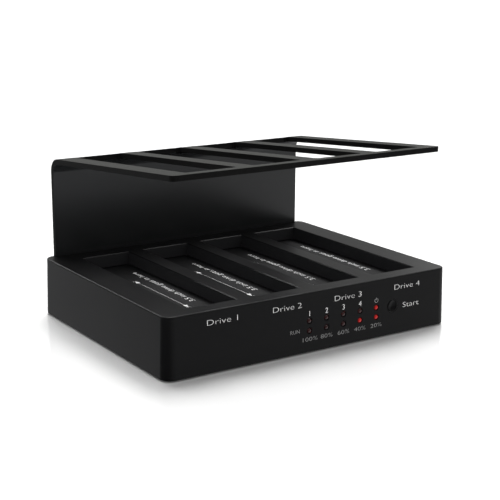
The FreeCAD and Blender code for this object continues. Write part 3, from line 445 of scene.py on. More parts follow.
# Glass-filled nylon of connectors: short fibres make it look dry and a little streaky.
SOCKET_NYLON = MouldedPlastic("nylon_moulded_glass_filled", "101012", 0.5, grain_mm=0.25, grain_depth_mm=0.03)
# Moulding resin of chips: grey-black and matt.
CHIP_EPOXY = MouldedPlastic("epoxy_moulded_matt", "17181a", 0.62, grain_mm=0.3, grain_depth_mm=0.02)
# Powder coat on the bent rack: glossier than the plastic and a shade greyer.
RACK_COAT = PowderCoat("powder_coat_satin_black", "202122", 0.24, specular=0.31)
# The sheared edges get a darker and duller coat than the faces.
SHEARED_COAT = PowderCoat("powder_coat_thin_black", "0c0c0c", 0.6, peel_mm=0.5, specular=0.08)
# Drawn steel under nickel plating: bright, with fine lines along the rods.
PLATED_STEEL = Metal("steel_drawn_nickel_plated", "c2c0ba", 0.28)
# Black zinc on the screws: a dark metal with a soft turned sheen.
BLACK_ZINC = Metal("steel_turned_black_zinc", "3a3a3c", 0.38, stretch=(1.0, 1.0, 1.0))
# Spring wire keeps its drawn skin, a little darker than plating.
SPRING_WIRE = Metal("spring_steel_drawn", "9a9a98", 0.3, line_mm=0.08)
# Gold flash on the contacts: warm and bright in their dark slots.
CONTACT_GOLD = Metal("brass_stamped_gold_flashed", "d9b45a", 0.25, line_mm=0.1)
# Extruded aluminium of the capacitor cans: pale, with upright lines.
CAN_ALUMINIUM = Metal("aluminium_extruded_can", "cfd0d2", 0.32, stretch=(1.0, 1.0, 0.06))
# Solder mask over copper: glossy green with lighter tracks.
BOARD_MASK = SolderMask("glass_epoxy_solder_mask", "0f4a2c", 0.3)
# Unlit red resin is almost black-red, with a highlight.
DARK_RESIN = LightResin("epoxy_cast_red_dark", "2a0808", 0.12)
# Lit red resin glows from inside.
LIT_RESIN = LightResin("epoxy_cast_red_lit", "4a0505", 0.12, glow=0.36, rim_glow=0.02)
# Die-cut rubber: dull, slightly lighter than the plastic.
FOOT_RUBBER = MouldedPlastic("rubber_die_cut_matt", "1c1c1d", 0.8, grain_mm=0.6, grain_depth_mm=0.05,
                             specular=0.25)
# White two-part ink on the plastic: bright and matt.
WHITE_INK = PrintInk("ink_screen_printed_white", "e6e6e6", 0.6)
# The small marks go on with a finer screen, which leaves a thinner and greyer film.
GREY_INK = PrintInk("ink_screen_printed_thin", "9c9c9c", 0.6)
# Polished acrylic of the studio floor: the object's foot shows in it faintly.
FLOOR_SHEET = AcrylicSheet("acrylic_polished_white", "fcfcfc", 0.9)


# --- Mesh building ----------------------------------------------------------
def axes(origin: Vector, right: Vector, up: Vector) -> Matrix:
    """Placement whose X is right, Y is up and Z is the outward normal.

    Args:
        origin: Where the placement's origin lies.
        right: Direction of its X axis.
        up: Direction of its Y axis, square to right.

    Returns:
        A 4x4 matrix from the placement's own coordinates to the frame's.
    """
    x = right.normalized()
    y = up.normalized()
    turned = Matrix((x, y, x.cross(y))).transposed().to_4x4()
    return Matrix.Translation(origin) @ turned


@dataclass
class Form:
    """A mesh in the making, gathered from simple shapes.

    Args:
        vertices: Its points so far.
        faces: Its faces so far, by the numbers of their points.
    """

    vertices: list[Vector] = field(default_factory=list)
    faces: list[tuple[int, ...]] = field(default_factory=list)

    def add(self, points: Iterable[Vector], faces: Iterable[Iterable[int]],
            place: Matrix | None = None) -> None:
        """Add points and the faces between them.

        Args:
            points: The new points.
            faces: The new faces, by the numbers of the new points.
            place: Placement that moves the points, where it is given.
        """
        first = len(self.vertices)
        self.vertices.extend(place @ point if place else point for point in points)
        self.faces.extend(tuple(first + index for index in face) for face in faces)

    def block(self, low: Vector, high: Vector, place: Matrix | None = None) -> None:
        """Add a block between two corners.

        Args:
            low: Its corner with the lowest X, Y and Z.
            high: The opposite corner.
            place: Placement that moves it, where it is given.
        """
        points = [Vector((x, y, z)) for z in (low.z, high.z) for y in (low.y, high.y)
                  for x in (low.x, high.x)]
        faces = ((0, 2, 3, 1), (4, 5, 7, 6), (0, 1, 5, 4), (2, 6, 7, 3), (0, 4, 6, 2), (1, 3, 7, 5))
        self.add(points, faces, place)

    def lathe(self, profile: list[tuple[float, float]], place: Matrix, segments: int = 40) -> None:
        """Add a body turned about the placement's Z axis.

        Args:
            profile: Radius and height of each ring, from the bottom to the top; a radius
                of zero closes the body there.
            place: Placement of the axis.
            segments: Flats round the axis.
        """
        points = []
        for radius, height in profile:
            for index in range(segments):
                angle = 2 * math.pi * index / segments
                points.append(Vector((radius * math.cos(angle), radius * math.sin(angle), height)))
        faces = []
        for ring in range(len(profile) - 1):
            for index in range(segments):
                after = (index + 1) % segments
                low, high = ring * segments, (ring + 1) * segments
                faces.append((low + index, low + after, high + after, high + index))
        self.add(points, faces, place)

    def tube(self, path: list[Vector], radius: float, sides: int = 8) -> None:
        """Add a round wire that follows a path, closed at both ends.

        Args:
            path: Points of the wire's middle line.
            radius: Radius of the wire.
            sides: Flats round the wire.
        """
        points = []
        turned = None
        for index, point in enumerate(path):
            ahead = path[min(index + 1, len(path) - 1)] - path[max(index - 1, 0)]
            heading = ahead.normalized()
            side = heading.orthogonal() if turned is None else turned - heading * turned.dot(heading)
            turned = side.normalized()
            across = heading.cross(turned)
            for step in range(sides):
                angle = 2 * math.pi * step / sides
                points.append(point + radius * (math.cos(angle) * turned + math.sin(angle) * across))
        faces = [tuple(range(sides))[::-1], tuple(range((len(path) - 1) * sides, len(path) * sides))]
        for ring in range(len(path) - 1):
            for step in range(sides):
                after = (step + 1) % sides
                low, high = ring * sides, (ring + 1) * sides
                faces.append((low + step, low + after, high + after, high + step))
        self.add(points, faces)

    def mesh(self, other: bpy.types.Mesh, place: Matrix) -> None:
        """Add another mesh's vertices and faces, moved to a place."""
        points = [vertex.co.copy() for vertex in other.vertices]
        self.add(points, [face.vertices for face in other.polygons], place)

    def finish(self, name: str, smooth_deg: float = 35.0) -> bpy.types.Object:
        """Turn the form into a clean object with smooth round parts and sharp edges.

        Args:
            name: Name of the object.
            smooth_deg: Angle between two faces up to which they look like one curve.

        Returns:
            The new object, linked to the scene.
        """
        data = bpy.data.meshes.new(name)
        data.from_pydata(self.vertices, [], self.faces)
        work = bmesh.new()
        work.from_mesh(data)
        bmesh.ops.remove_doubles(work, verts=work.verts, dist=WELD)
        bmesh.ops.recalc_face_normals(work, faces=work.faces)
        work.to_mesh(data)
        work.free()
        data.shade_smooth()
        data.set_sharp_from_angle(angle=math.radians(smooth_deg))
        piece = bpy.data.objects.new(name, data)
        bpy.context.scene.collection.objects.link(piece)
        return piece


def dress(piece: bpy.types.Object, finish: Finish) -> None:
    """Give a piece one finish all over.

    Args:
        piece: The piece.
        finish: Its finish.
    """
    piece.data.materials.clear()
    piece.data.materials.append(finish.material())
    LOG.info("%s is dressed in %s", piece.name, finish.name)


def paint_faces(piece: bpy.types.Object, finish: Finish,
                chosen: Callable[[Vector, Vector, float], bool]) -> None:
    """Give some faces of a dressed CAD piece a second finish.

    Args:
        piece: The CAD piece.
        finish: The second finish.
        chosen: Tells from a face's middle, outward direction and height whether it gets it.
    """
    piece.data.materials.append(finish.material())
    place = piece.matrix_world
    area = 0.0
    for face in piece.data.polygons:
        heights = [(place @ piece.data.vertices[index].co).z for index in face.vertices]
        if chosen(place @ face.center, place.to_3x3() @ face.normal, max(heights) - min(heights)):
            face.material_index = 1
            area += face.area
    LOG.info("%s has %.0f mm2 in %s", piece.name, area / MM ** 2, finish.name)


def settle(piece: bpy.types.Object, body: str, finish: Finish,
           stands_for: tuple[str, ...] = ()) -> bpy.types.Object:
    """Dress a new piece and tie it to the frame.

    Args:
        piece: The new piece, in place.
        body: CAD body that it moves with.
        finish: Its finish.
        stands_for: CAD nodes that it replaces.

    Returns:
        The same piece.
    """
    dress(piece, finish)
    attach(piece, body)
    if stands_for:
        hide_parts(*stands_for)
    LOG.info("%s rides on %s", piece.name, body)
    return piece


def break_edges(piece: bpy.types.Object, width_mm: float, segments: int = 2) -> None:
    """Round a CAD piece's sharp edges a little, as a tool or a coat of paint leaves them.

    Args:
        piece: The CAD piece.
        width_mm: Width of the rounding.
        segments: Flats across it.
    """
    merge = piece.modifiers.new("merge_flats", "DECIMATE")
    merge.decimate_type = "DISSOLVE"
    merge.delimit = {"MATERIAL"}
    merge.angle_limit = math.radians(FLAT_MERGE_DEG)
    bevel = piece.modifiers.new("edge_break", "BEVEL")
    bevel.width = width_mm * MM
    bevel.segments = segments
    bevel.limit_method = "ANGLE"
    bevel.angle_limit = math.radians(SHARP_EDGE_DEG)
    bevel.harden_normals = True


# --- Printing ---------------------------------------------------------------
@dataclass(frozen=True)
class Lettering:
    """Size and weight of one kind of label.

    Args:
        cap_mm: Height of its capitals.
        weight_mm: How much its strokes grow to each side; less than zero thins them.
    """

    cap_mm: float
    weight_mm: float


@dataclass
class Printer:
    """Prints labels and lines as a thin film of ink on a flat face.

    Args:
        film_mm: Thickness of the film above the face.
        form: The print so far.
        arc_steps: Straight pieces that make up an arc.
        glyph_steps: Straight pieces between two points of a letter's outline.
    """

    film_mm: float = 0.02
    form: Form = field(default_factory=Form)
    arc_steps: int = 20
    glyph_steps: int = 3

    def text_mesh(self, text: str, size: float, weight_mm: float = 0.0) -> bpy.types.Mesh:
        """Turn a text in Blender's own font into a mesh.

        Args:
            text: What it says.
            size: Size of the font, in metres.
            weight_mm: How much its strokes grow to each side; less than zero thins them.

        Returns:
            The mesh, centred on the middle of its baseline.
        """
        curve = bpy.data.curves.new("label", "FONT")
        curve.body = text
        curve.size = size
        curve.align_x = "CENTER"
        curve.extrude = self.film_mm * MM
        curve.offset = weight_mm * MM
        curve.resolution_u = self.glyph_steps
        holder = bpy.data.objects.new("label", curve)
        bpy.context.scene.collection.objects.link(holder)
        bpy.context.view_layer.update()
        graph = bpy.context.evaluated_depsgraph_get()
        mesh = bpy.data.meshes.new_from_object(holder.evaluated_get(graph))
        bpy.data.objects.remove(holder)
        bpy.data.curves.remove(curve)
        return mesh

    def cap_height(self) -> float:
        """Measure a capital letter of the font.

        Returns:
            Its height at size one.
        """
        mesh = self.text_mesh("H", 1.0)
        heights = [vertex.co.y for vertex in mesh.vertices]
        bpy.data.meshes.remove(mesh)
        return max(heights) - min(heights)

    def label(self, text: str, lettering: Lettering, place: Matrix, width_mm: float | None = None) -> None:
        """Print a text.

        Args:
            text: What it says.
            lettering: Its size and weight.
            place: Placement of its baseline's middle on the face.
            width_mm: Length that the text is drawn out to, where it is given.
        """
        mesh = self.text_mesh(text, lettering.cap_mm * MM / self.cap_height(), lettering.weight_mm)
        if width_mm:
            xs = [vertex.co.x for vertex in mesh.vertices]
            stretch = width_mm * MM / (max(xs) - min(xs))
            place = place @ Matrix.Diagonal((stretch, 1, 1, 1))
        self.form.mesh(mesh, place)
        bpy.data.meshes.remove(mesh)

    def polygon(self, points: list[tuple[float, float]], place: Matrix) -> None:
        """Print a filled outline.

        Args:
            points: Its corners, in millimetres on the face.
            place: Placement of the face.
        """
        count = len(points)
        film = self.film_mm * MM
        corners = [Vector((x * MM, y * MM, z)) for z in (-film, film) for x, y in points]
        walls = [(i, (i + 1) % count, count + (i + 1) % count, count + i) for i in range(count)]
        self.form.add(corners, [tuple(range(count))[::-1], tuple(range(count, 2 * count))] + walls, place)

    def bar(self, start: tuple[float, float], end: tuple[float, float], width_mm: float,
            place: Matrix) -> None:
        """Print a straight line of one width.

        Args:
            start: Its start, in millimetres on the face.
            end: Its end.
            width_mm: Its width.
            place: Placement of the face.
        """
        along = (Vector(end) - Vector(start)).normalized()
        side = Vector((-along.y, along.x)) * width_mm / 2
        corners = [Vector(start) - side, Vector(end) - side, Vector(end) + side, Vector(start) + side]
        self.polygon([(corner.x, corner.y) for corner in corners], place)

    def arc(self, radius_mm: float, start_deg: float, end_deg: float, width_mm: float,
            place: Matrix) -> None:
        """Print part of a ring about the placement's origin.

        Args:
            radius_mm: Radius to the middle of the line.
            start_deg: Where it starts, counter-clockwise from the placement's X.
            end_deg: Where it ends.
            width_mm: Width of the line.
            place: Placement of the face.
        """
        swing = end_deg - start_deg
        angles = [math.radians(start_deg + swing * step / self.arc_steps)
                  for step in range(self.arc_steps + 1)]
        inner = radius_mm - width_mm / 2
        outer = radius_mm + width_mm / 2
        for angle, after in zip(angles, angles[1:]):
            corners = ((inner, angle), (outer, angle), (outer, after), (inner, after))
            self.polygon([(radius * math.cos(turn), radius * math.sin(turn)) for radius, turn in corners],
                         place)


# --- Sub-assemblies ---------------------------------------------------------
def node(name: str) -> bpy.types.Object:
    """Return a CAD node of the frame by its name."""
    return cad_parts[name]


def middle(name: str) -> Vector:
    """Return the middle of a CAD node's box."""
    low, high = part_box(name)
    return (low + high) / 2


@dataclass
class Housing:
    """The moulded top housing, its floor plate and the rubber feet.

    Args:
        depth_mm: Depth across the top edge.
        draft: Share of their height by which the walls lean out downward.
        wall_mm: How far past the outermost flap a bay's side wall can lie.
        bay_end_mm: How far past the flaps' ends a bay's end wall can lie.
        steepest_z: Largest Z of the outward direction of a face that counts as a wall.
        foot_radius_mm: Radius of a foot.
        foot_edge_mm: Points of a foot's rounded lower edge, by how far in and how high
            they lie.
        foot_ring_mm: Inner radius of the ring that a foot stands on.
        foot_cup_mm: Depth of the cup inside the ring.
    """

    depth_mm: float = 126.3
    draft: float = 0.0232
    wall_mm: float = 4.0
    bay_end_mm: float = 1.0
    steepest_z: float = 0.7
    foot_radius_mm: float = 6.0
    foot_edge_mm: tuple[tuple[float, float], ...] = ((0.0, 0.35), (0.3, 0.05), (0.6, 0.0))
    foot_ring_mm: float = 4.2
    foot_cup_mm: float = 0.3

    def top(self) -> float:
        """Height of the housing's top face."""
        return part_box("top_housing")[1].z

    def front_place(self, x_mm: float, z_mm: float) -> Matrix:
        """Find a placement on the leaning front face, X to the right and Y up the face.

        Args:
            x_mm: X of its origin.
            z_mm: Height of its origin.

        Returns:
            The placement.
        """
        z = z_mm * MM
        y = -self.depth_mm * MM / 2 - self.draft * (self.top() - z)
        return axes(Vector((x_mm * MM, y, z)), Vector((1, 0, 0)), Vector((0, self.draft, 1)))

    def build(self) -> None:
        """Dress the housing, its floor plate and the feet; the walls inside the bays get painted fill light.
        """
        shell = node("top_housing")
        dress(shell, HOUSING_ABS)
        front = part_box("large_flap_1")[0].y - self.bay_end_mm * MM
        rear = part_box("large_flap_4")[1].y + self.bay_end_mm * MM
        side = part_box("large_flap_4")[1].x + self.wall_mm * MM
        # The walls inside the bays get the greyer finish: painted fill light on their shade.
        paint_faces(shell, POCKET_ABS_PAINTED_FILL, lambda centre, normal, height:
                    abs(centre.x) < side and front < centre.y < rear and abs(normal.z) < self.steepest_z)
        dress(node("bottom_cover"), FLOOR_ABS)
        self.feet()

    def feet(self) -> None:
        """Put feet with a rounded edge, a ring and a shallow cup in place of the plain discs."""
        low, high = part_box("rubber_feet")
        radius = self.foot_radius_mm * MM
        ring = self.foot_ring_mm * MM
        cup = self.foot_cup_mm * MM
        profile = [(0, high.z), (radius, high.z)]
        profile += [(radius - inward * MM, height * MM) for inward, height in self.foot_edge_mm]
        profile += [(ring, 0), (ring - cup, cup), (0, cup)]
        form = Form()
        for x in (low.x + radius, high.x - radius):
            for y in (low.y + radius, high.y - radius):
                form.lathe(profile, Matrix.Translation((x, y, 0)))
        settle(form.finish("feet_turned"), "base", FOOT_RUBBER, ("rubber_feet",))


@dataclass
class Rack:
    """The bent sheet that steadies the drives.

    Args:
        edge_mm: Radius of its edges under the coat.
        edge_flats: Flats across that radius.
        sheet_mm: Height of its sheared front edge.
        plate_share: Depth of the upright plate at the rear, in sheet heights.
        sheared_share: Height of the tallest sheared face, in sheet heights.
        side_x: Smallest X of the outward direction of a face that points to a side.
        end_y: Smallest Y of the outward direction of a face that points to the front or
            the rear.
    """

    edge_mm: float = 0.3
    edge_flats: int = 3
    sheet_mm: float = 2.6
    plate_share: float = 1.2
    sheared_share: float = 1.1
    side_x: float = 0.5
    end_y: float = 0.9

    def build(self) -> None:
        """Coat the sheet, darker and duller on its sheared faces, and break its edges."""
        sheet = node("drive_rack")
        dress(sheet, RACK_COAT)
        plate_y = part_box("drive_rack")[1].y - self.plate_share * self.sheet_mm * MM
        tallest = self.sheared_share * self.sheet_mm * MM
        paint_faces(sheet, SHEARED_COAT, lambda centre, normal, height:
                    abs(normal.x) > self.side_x
                    or abs(normal.y) > self.end_y and centre.y < plate_y and height < tallest)
        break_edges(sheet, self.edge_mm, self.edge_flats)


@dataclass
class Screw:
    """A pan-head screw with a cross recess, standing along +Z with its seat at zero.

    Args:
        radius_mm: Radius over the thread.
        length_mm: Length under the head.
        head_radius_mm: Radius of the head.
        head_mm: Height of the head.
        pitch_mm: Distance from one thread to the next.
        tip_share: Radius of the tip, as a share of the radius over the thread.
        crest_share: Radius of a thread's crest, likewise.
        root_share: Radius of its root, likewise.
        crown: Points of the head's outline, as shares of its radius and its height.
        recess_share: Half the length, half the width and the floor's height of the cross
            recess, as shares of the head's radius, radius and height.
        flats: Flats round the screw.
    """

    radius_mm: float
    length_mm: float
    head_radius_mm: float
    head_mm: float
    pitch_mm: float = 0.6
    tip_share: float = 0.6
    crest_share: float = 0.98
    root_share: float = 0.8
    crown: tuple[tuple[float, float], ...] = ((1, 0.4), (0.93, 0.72), (0.75, 0.92), (0.45, 1), (0, 1))
    recess_share: tuple[float, float, float] = (0.5, 0.13, 0.4)
    flats: int = 28

    def profile(self) -> list[tuple[float, float]]:
        """Draw the outline from the tip to the crown of the head.

        Returns:
            Radius and height of each point, in metres.
        """
        crest = self.radius_mm * self.crest_share
        root = self.radius_mm * self.root_share
        outline = [(0.0, -self.length_mm), (self.radius_mm * self.tip_share, -self.length_mm)]
        for turn in range(int(self.length_mm / self.pitch_mm)):
            height = -self.length_mm + (turn + 0.5) * self.pitch_mm
            outline += [(crest, height), (root, height + self.pitch_mm / 2)]
        outline += [(crest, 0), (self.head_radius_mm, 0)]
        outline += [(radius * self.head_radius_mm, height * self.head_mm) for radius, height in self.crown]
        return [(radius * MM, height * MM) for radius, height in outline]

    def mesh(self) -> bpy.types.Mesh:
        """Turn the screw and cut its cross recess.

        Returns:
            The finished mesh, with its head's seat at zero.
        """
        body = Form()
        body.lathe(self.profile(), Matrix.Identity(4), segments=self.flats)
        screw = body.finish("screw_blank")
        long_share, wide_share, floor_share = self.recess_share
        half = Vector((self.head_radius_mm * long_share, self.head_radius_mm * wide_share, self.head_mm)) * MM
        cutters = []
        for turn in (0, 90):
            bar = Form()
            bar.block(Vector((-half.x, -half.y, half.z * floor_share)), half + Vector((0, 0, half.z)),
                      Matrix.Rotation(math.radians(turn), 4, "Z"))
            cutter = bar.finish("recess_%d" % turn)
            cut = screw.modifiers.new("recess", "BOOLEAN")
            cut.object = cutter
            cut.solver = "EXACT"
            cutters.append(cutter)
        bpy.context.view_layer.update()
        graph = bpy.context.evaluated_depsgraph_get()
        made = bpy.data.meshes.new_from_object(screw.evaluated_get(graph))
        for spent in cutters + [screw]:
            bpy.data.objects.remove(spent)
        return made


@dataclass
class ScrewSet:
    """Screws of one size that stand in for one CAD group.

    Args:
        cad_node: Group that they replace.
        outward: Direction of the heads.
        radius_mm: Radius over the thread.
        head_mm: Height of the heads.
        first_turn_deg: How far the first screw's recess is turned.
        turn_step_deg: How much further each next one is turned.
    """

    cad_node: str
    outward: Vector
    radius_mm: float
    head_mm: float
    first_turn_deg: float = 17.0
    turn_step_deg: float = 38.0

    def build(self) -> None:
        """Place a copy of the screw at each CAD screw, each turned a little differently."""
        boxes = solid_boxes(self.cad_node)
        low, high = boxes[0]
        size = high - low
        length = abs(size.dot(self.outward)) / MM - self.head_mm
        head_radius = max(size.cross(self.outward)) / MM / 2
        blank = Screw(self.radius_mm, length, head_radius, self.head_mm).mesh()
        turn = self.outward.to_track_quat("Z", "Y").to_matrix().to_4x4()
        form = Form()
        for index, (low, high) in enumerate(boxes):
            crown = (low + high) / 2 + self.outward * abs(size.dot(self.outward)) / 2
            seat = Matrix.Translation(crown - self.outward * self.head_mm * MM)
            driven = math.radians(self.first_turn_deg + self.turn_step_deg * index)
            form.mesh(blank, seat @ turn @ Matrix.Rotation(driven, 4, "Z"))
        settle(form.finish(self.cad_node + "_turned"), "base", BLACK_ZINC, (self.cad_node,))


def solid_boxes(name: str) -> list[tuple[Vector, Vector]]:
    """Find the separate solids of a CAD group.

    Args:
        name: The group's node.

    Returns:
        Lowest and highest corner of each solid, from left to right and front to rear.
    """
    work = bmesh.new()
    work.from_mesh(node(name).data)
    bmesh.ops.transform(work, matrix=node(name).matrix_world, verts=work.verts)
    bmesh.ops.remove_doubles(work, verts=work.verts, dist=WELD)
    boxes = []
    left = set(work.verts)
    while left:
        group = [left.pop()]
        for vertex in group:
            joined = {edge.other_vert(vertex) for edge in vertex.link_edges} & left
            left -= joined
            group.extend(joined)
        low = Vector([min(vertex.co[axis] for vertex in group) for axis in range(3)])
        high = Vector([max(vertex.co[axis] for vertex in group) for axis in range(3)])
        boxes.append((low, high))
    work.free()
    return sorted(boxes, key=lambda box: [round(value, 5) for value in box[0]])


@dataclass
class Fasteners:
    """All screws of the assembly.

    Args:
        sets: The groups, each of one size.
    """

    sets: tuple[ScrewSet, ...] = (
        ScrewSet("rack_screws", Vector((0, 1, 0)), 1.45, 1.2),
        ScrewSet("case_screws", Vector((0, 0, -1)), 1.45, 0.8),
        ScrewSet("board_screws", Vector((0, 0, 1)), 0.95, 0.8),
        ScrewSet("led_board_screws", Vector((0, 1, 0)), 0.95, 0.8),
    )

    def build(self) -> None:
        """Build each group from the CAD group that it replaces."""
        for screws in self.sets:
            screws.build()


class FlapKind(Enum):
    """The two flaps of a bay: the small one is hinged at its left side, the large one at its right."""

    SMALL = "small"
    LARGE = "large"

    @property
    def leg_side(self) -> int:
        """Direction along X in which the spring's leg lies under the flap."""
        return 1 if self is FlapKind.SMALL else -1


@dataclass
class Flap:
    """One sprung flap: its plate and its torsion spring.

    Args:
        bay: Bay number, from 1 at the left.
        kind: Which of the two flaps it is.
        wire_mm: Radius of the spring's wire.
        coil_mm: Radius to the middle of the wire.
        turns: Turns of the coil.
        turn_steps: Points along each turn.
    """

    bay: int
    kind: FlapKind
    wire_mm: float = 0.2
    coil_mm: float = 1.2
    turns: int = 5
    turn_steps: int = 16

    @property
    def body(self) -> str:
        """Name of the CAD body, which is also that of its plate's node."""
        return "%s_flap_%d" % (self.kind.value, self.bay)

    def build(self) -> None:
        """Dress the plate and wind the spring."""
        dress(node(self.body), FLAP_ABS)
        self.spring()

    def spring(self) -> None:
        """Wind the coil round the hinge line and lead its leg under the plate."""
        name = "%s_flap_spring_%d" % (self.kind.value, self.bay)
        low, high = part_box(name)
        side = self.kind.leg_side
        reach = (self.coil_mm + self.wire_mm) * MM
        hinge_x = low.x + reach if side > 0 else high.x - reach
        hinge_z = high.z - reach
        start = low.y + self.wire_mm * MM
        end = high.y - self.wire_mm * MM
        steps = self.turns * self.turn_steps
        path = []
        for step in range(steps + 1):
            angle = 2 * math.pi * self.turns * (step / steps - 1) - math.pi / 2
            x = hinge_x + side * self.coil_mm * MM * math.cos(angle)
            z = hinge_z + self.coil_mm * MM * math.sin(angle)
            path.append(Vector((x, start + (end - start) * step / steps, z)))
        tip = high.x if side > 0 else low.x
        path.append(Vector(((hinge_x + tip) / 2, end, path[-1].z)))
        path.append(Vector((tip, end, path[-1].z)))
        form = Form()
        form.tube(path, self.wire_mm * MM)
        settle(form.finish("%s_coil" % name), self.body, SPRING_WIRE, (name,))


@dataclass
class Bays:
    """Four bays with their flaps, hinge rods, prints and drive sockets.

    Args:
        housing: The housing that they lie in.
        count: Number of bays.
        barrel_mm: Radius of a flap's hinge barrel.
        hinge_out_mm: How far outside a bay's side the hinge line lies.
        text: Words printed along each wide flap.
        lettering: Size and weight of the words.
        text_offset_mm: Middle of the text from the bay's left side.
        line_offset_mm: Dimension line from the bay's left side.
        text_run_mm: Start and end of the text behind the front panel.
        line_run_mm: Start and end of the line behind the front panel.
        line_mm: Width of the line.
        arrow_mm: Length and half width of the line's arrow heads.
        tick_mm: Half length of the ticks at its ends.
        contact_pitch_mm: Distance from one socket contact to the next.
        contact_rows: For each slot of a socket, its first contact behind the socket's
            middle in millimetres, and its number of contacts.
        contact_mm: Size of a contact.
        contact_left_mm: Left face of the contacts, to the left of the socket's middle.
        contact_sink_mm: Lower end of the contacts below the socket's top.
    """

    housing: Housing
    count: int = 4
    barrel_mm: float = 1.2
    hinge_out_mm: float = 1.3
    text: str = "3.5 inch drive goes in here"
    lettering: Lettering = Lettering(3.0, -0.045)
    text_offset_mm: float = 20.5
    line_offset_mm: float = 13.6
    text_run_mm: tuple[float, float] = (37.0, 97.0)
    line_run_mm: tuple[float, float] = (29.5, 82.0)
    line_mm: float = 0.13
    arrow_mm: tuple[float, float] = (3.6, 1.1)
    tick_mm: float = 1.3
    contact_pitch_mm: float = 1.27
    contact_rows: tuple[tuple[float, int], ...] = ((-15.0, 7), (-3.1, 15))
    contact_mm: tuple[float, float, float] = (0.2, 0.7, 2.7)
    contact_left_mm: float = 0.65
    contact_sink_mm: float = 3.1

    def left_side(self, bay: int) -> float:
        """X of a bay's left side, from the small flap's barrel on its hinge line."""
        low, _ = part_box("small_flap_%d" % bay)
        return low.x + (self.barrel_mm + self.hinge_out_mm) * MM

    def build(self) -> None:
        """Build every bay."""
        dress(node("flap_hinge_rods"), PLATED_STEEL)
        for bay in range(1, self.count + 1):
            for kind in FlapKind:
                Flap(bay, kind).build()
            self.flap_print(bay)
            self.socket_contacts(bay)

    def flap_print(self, bay: int) -> None:
        """Print the words and the dimension line on the wide flap, read from front to back.

        Args:
            bay: Bay number, from 1 at the left.
        """
        name = "large_flap_%d" % bay
        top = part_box(name)[1].z
        front = -self.housing.depth_mm / 2
        left = self.left_side(bay) / MM
        printer = Printer()
        start, end = self.text_run_mm
        along = Vector((0, 1, 0))
        up = Vector((-1, 0, 0))
        baseline = left + self.text_offset_mm + self.lettering.cap_mm / 2
        origin = Vector((baseline, front + (start + end) / 2, top / MM)) * MM
        printer.label(self.text, self.lettering, axes(origin, along, up), end - start)
        start, end = self.line_run_mm
        origin = Vector((left + self.line_offset_mm, front, top / MM)) * MM
        place = axes(origin, along, up)
        printer.bar((start, 0), (end, 0), self.line_mm, place)
        length, half = self.arrow_mm
        for tip, inward in ((start, 1), (end, -1)):
            root = tip + inward * length
            printer.polygon([(tip, 0), (root, -half), (root, half)][::inward], place)
            printer.bar((tip, -self.tick_mm), (tip, self.tick_mm), self.line_mm, place)
        settle(printer.form.finish("flap_print_%d" % bay), name, WHITE_INK)

    def socket_contacts(self, bay: int) -> None:
        """Dress a drive socket and set gold contacts into its two slots.

        Args:
            bay: Bay number, from 1 at the left.
        """
        name = "drive_socket_%d" % bay
        dress(node(name), SOCKET_NYLON)
        centre = middle(name)
        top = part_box(name)[1].z
        left = centre.x - self.contact_left_mm * MM
        form = Form()
        for first, count in self.contact_rows:
            for index in range(count):
                y = centre.y + (first + index * self.contact_pitch_mm) * MM
                low = Vector((left, y, top - self.contact_sink_mm * MM))
                form.block(low, low + Vector(self.contact_mm) * MM)
        settle(form.finish("socket_contacts_%d" % bay), "base", CONTACT_GOLD)


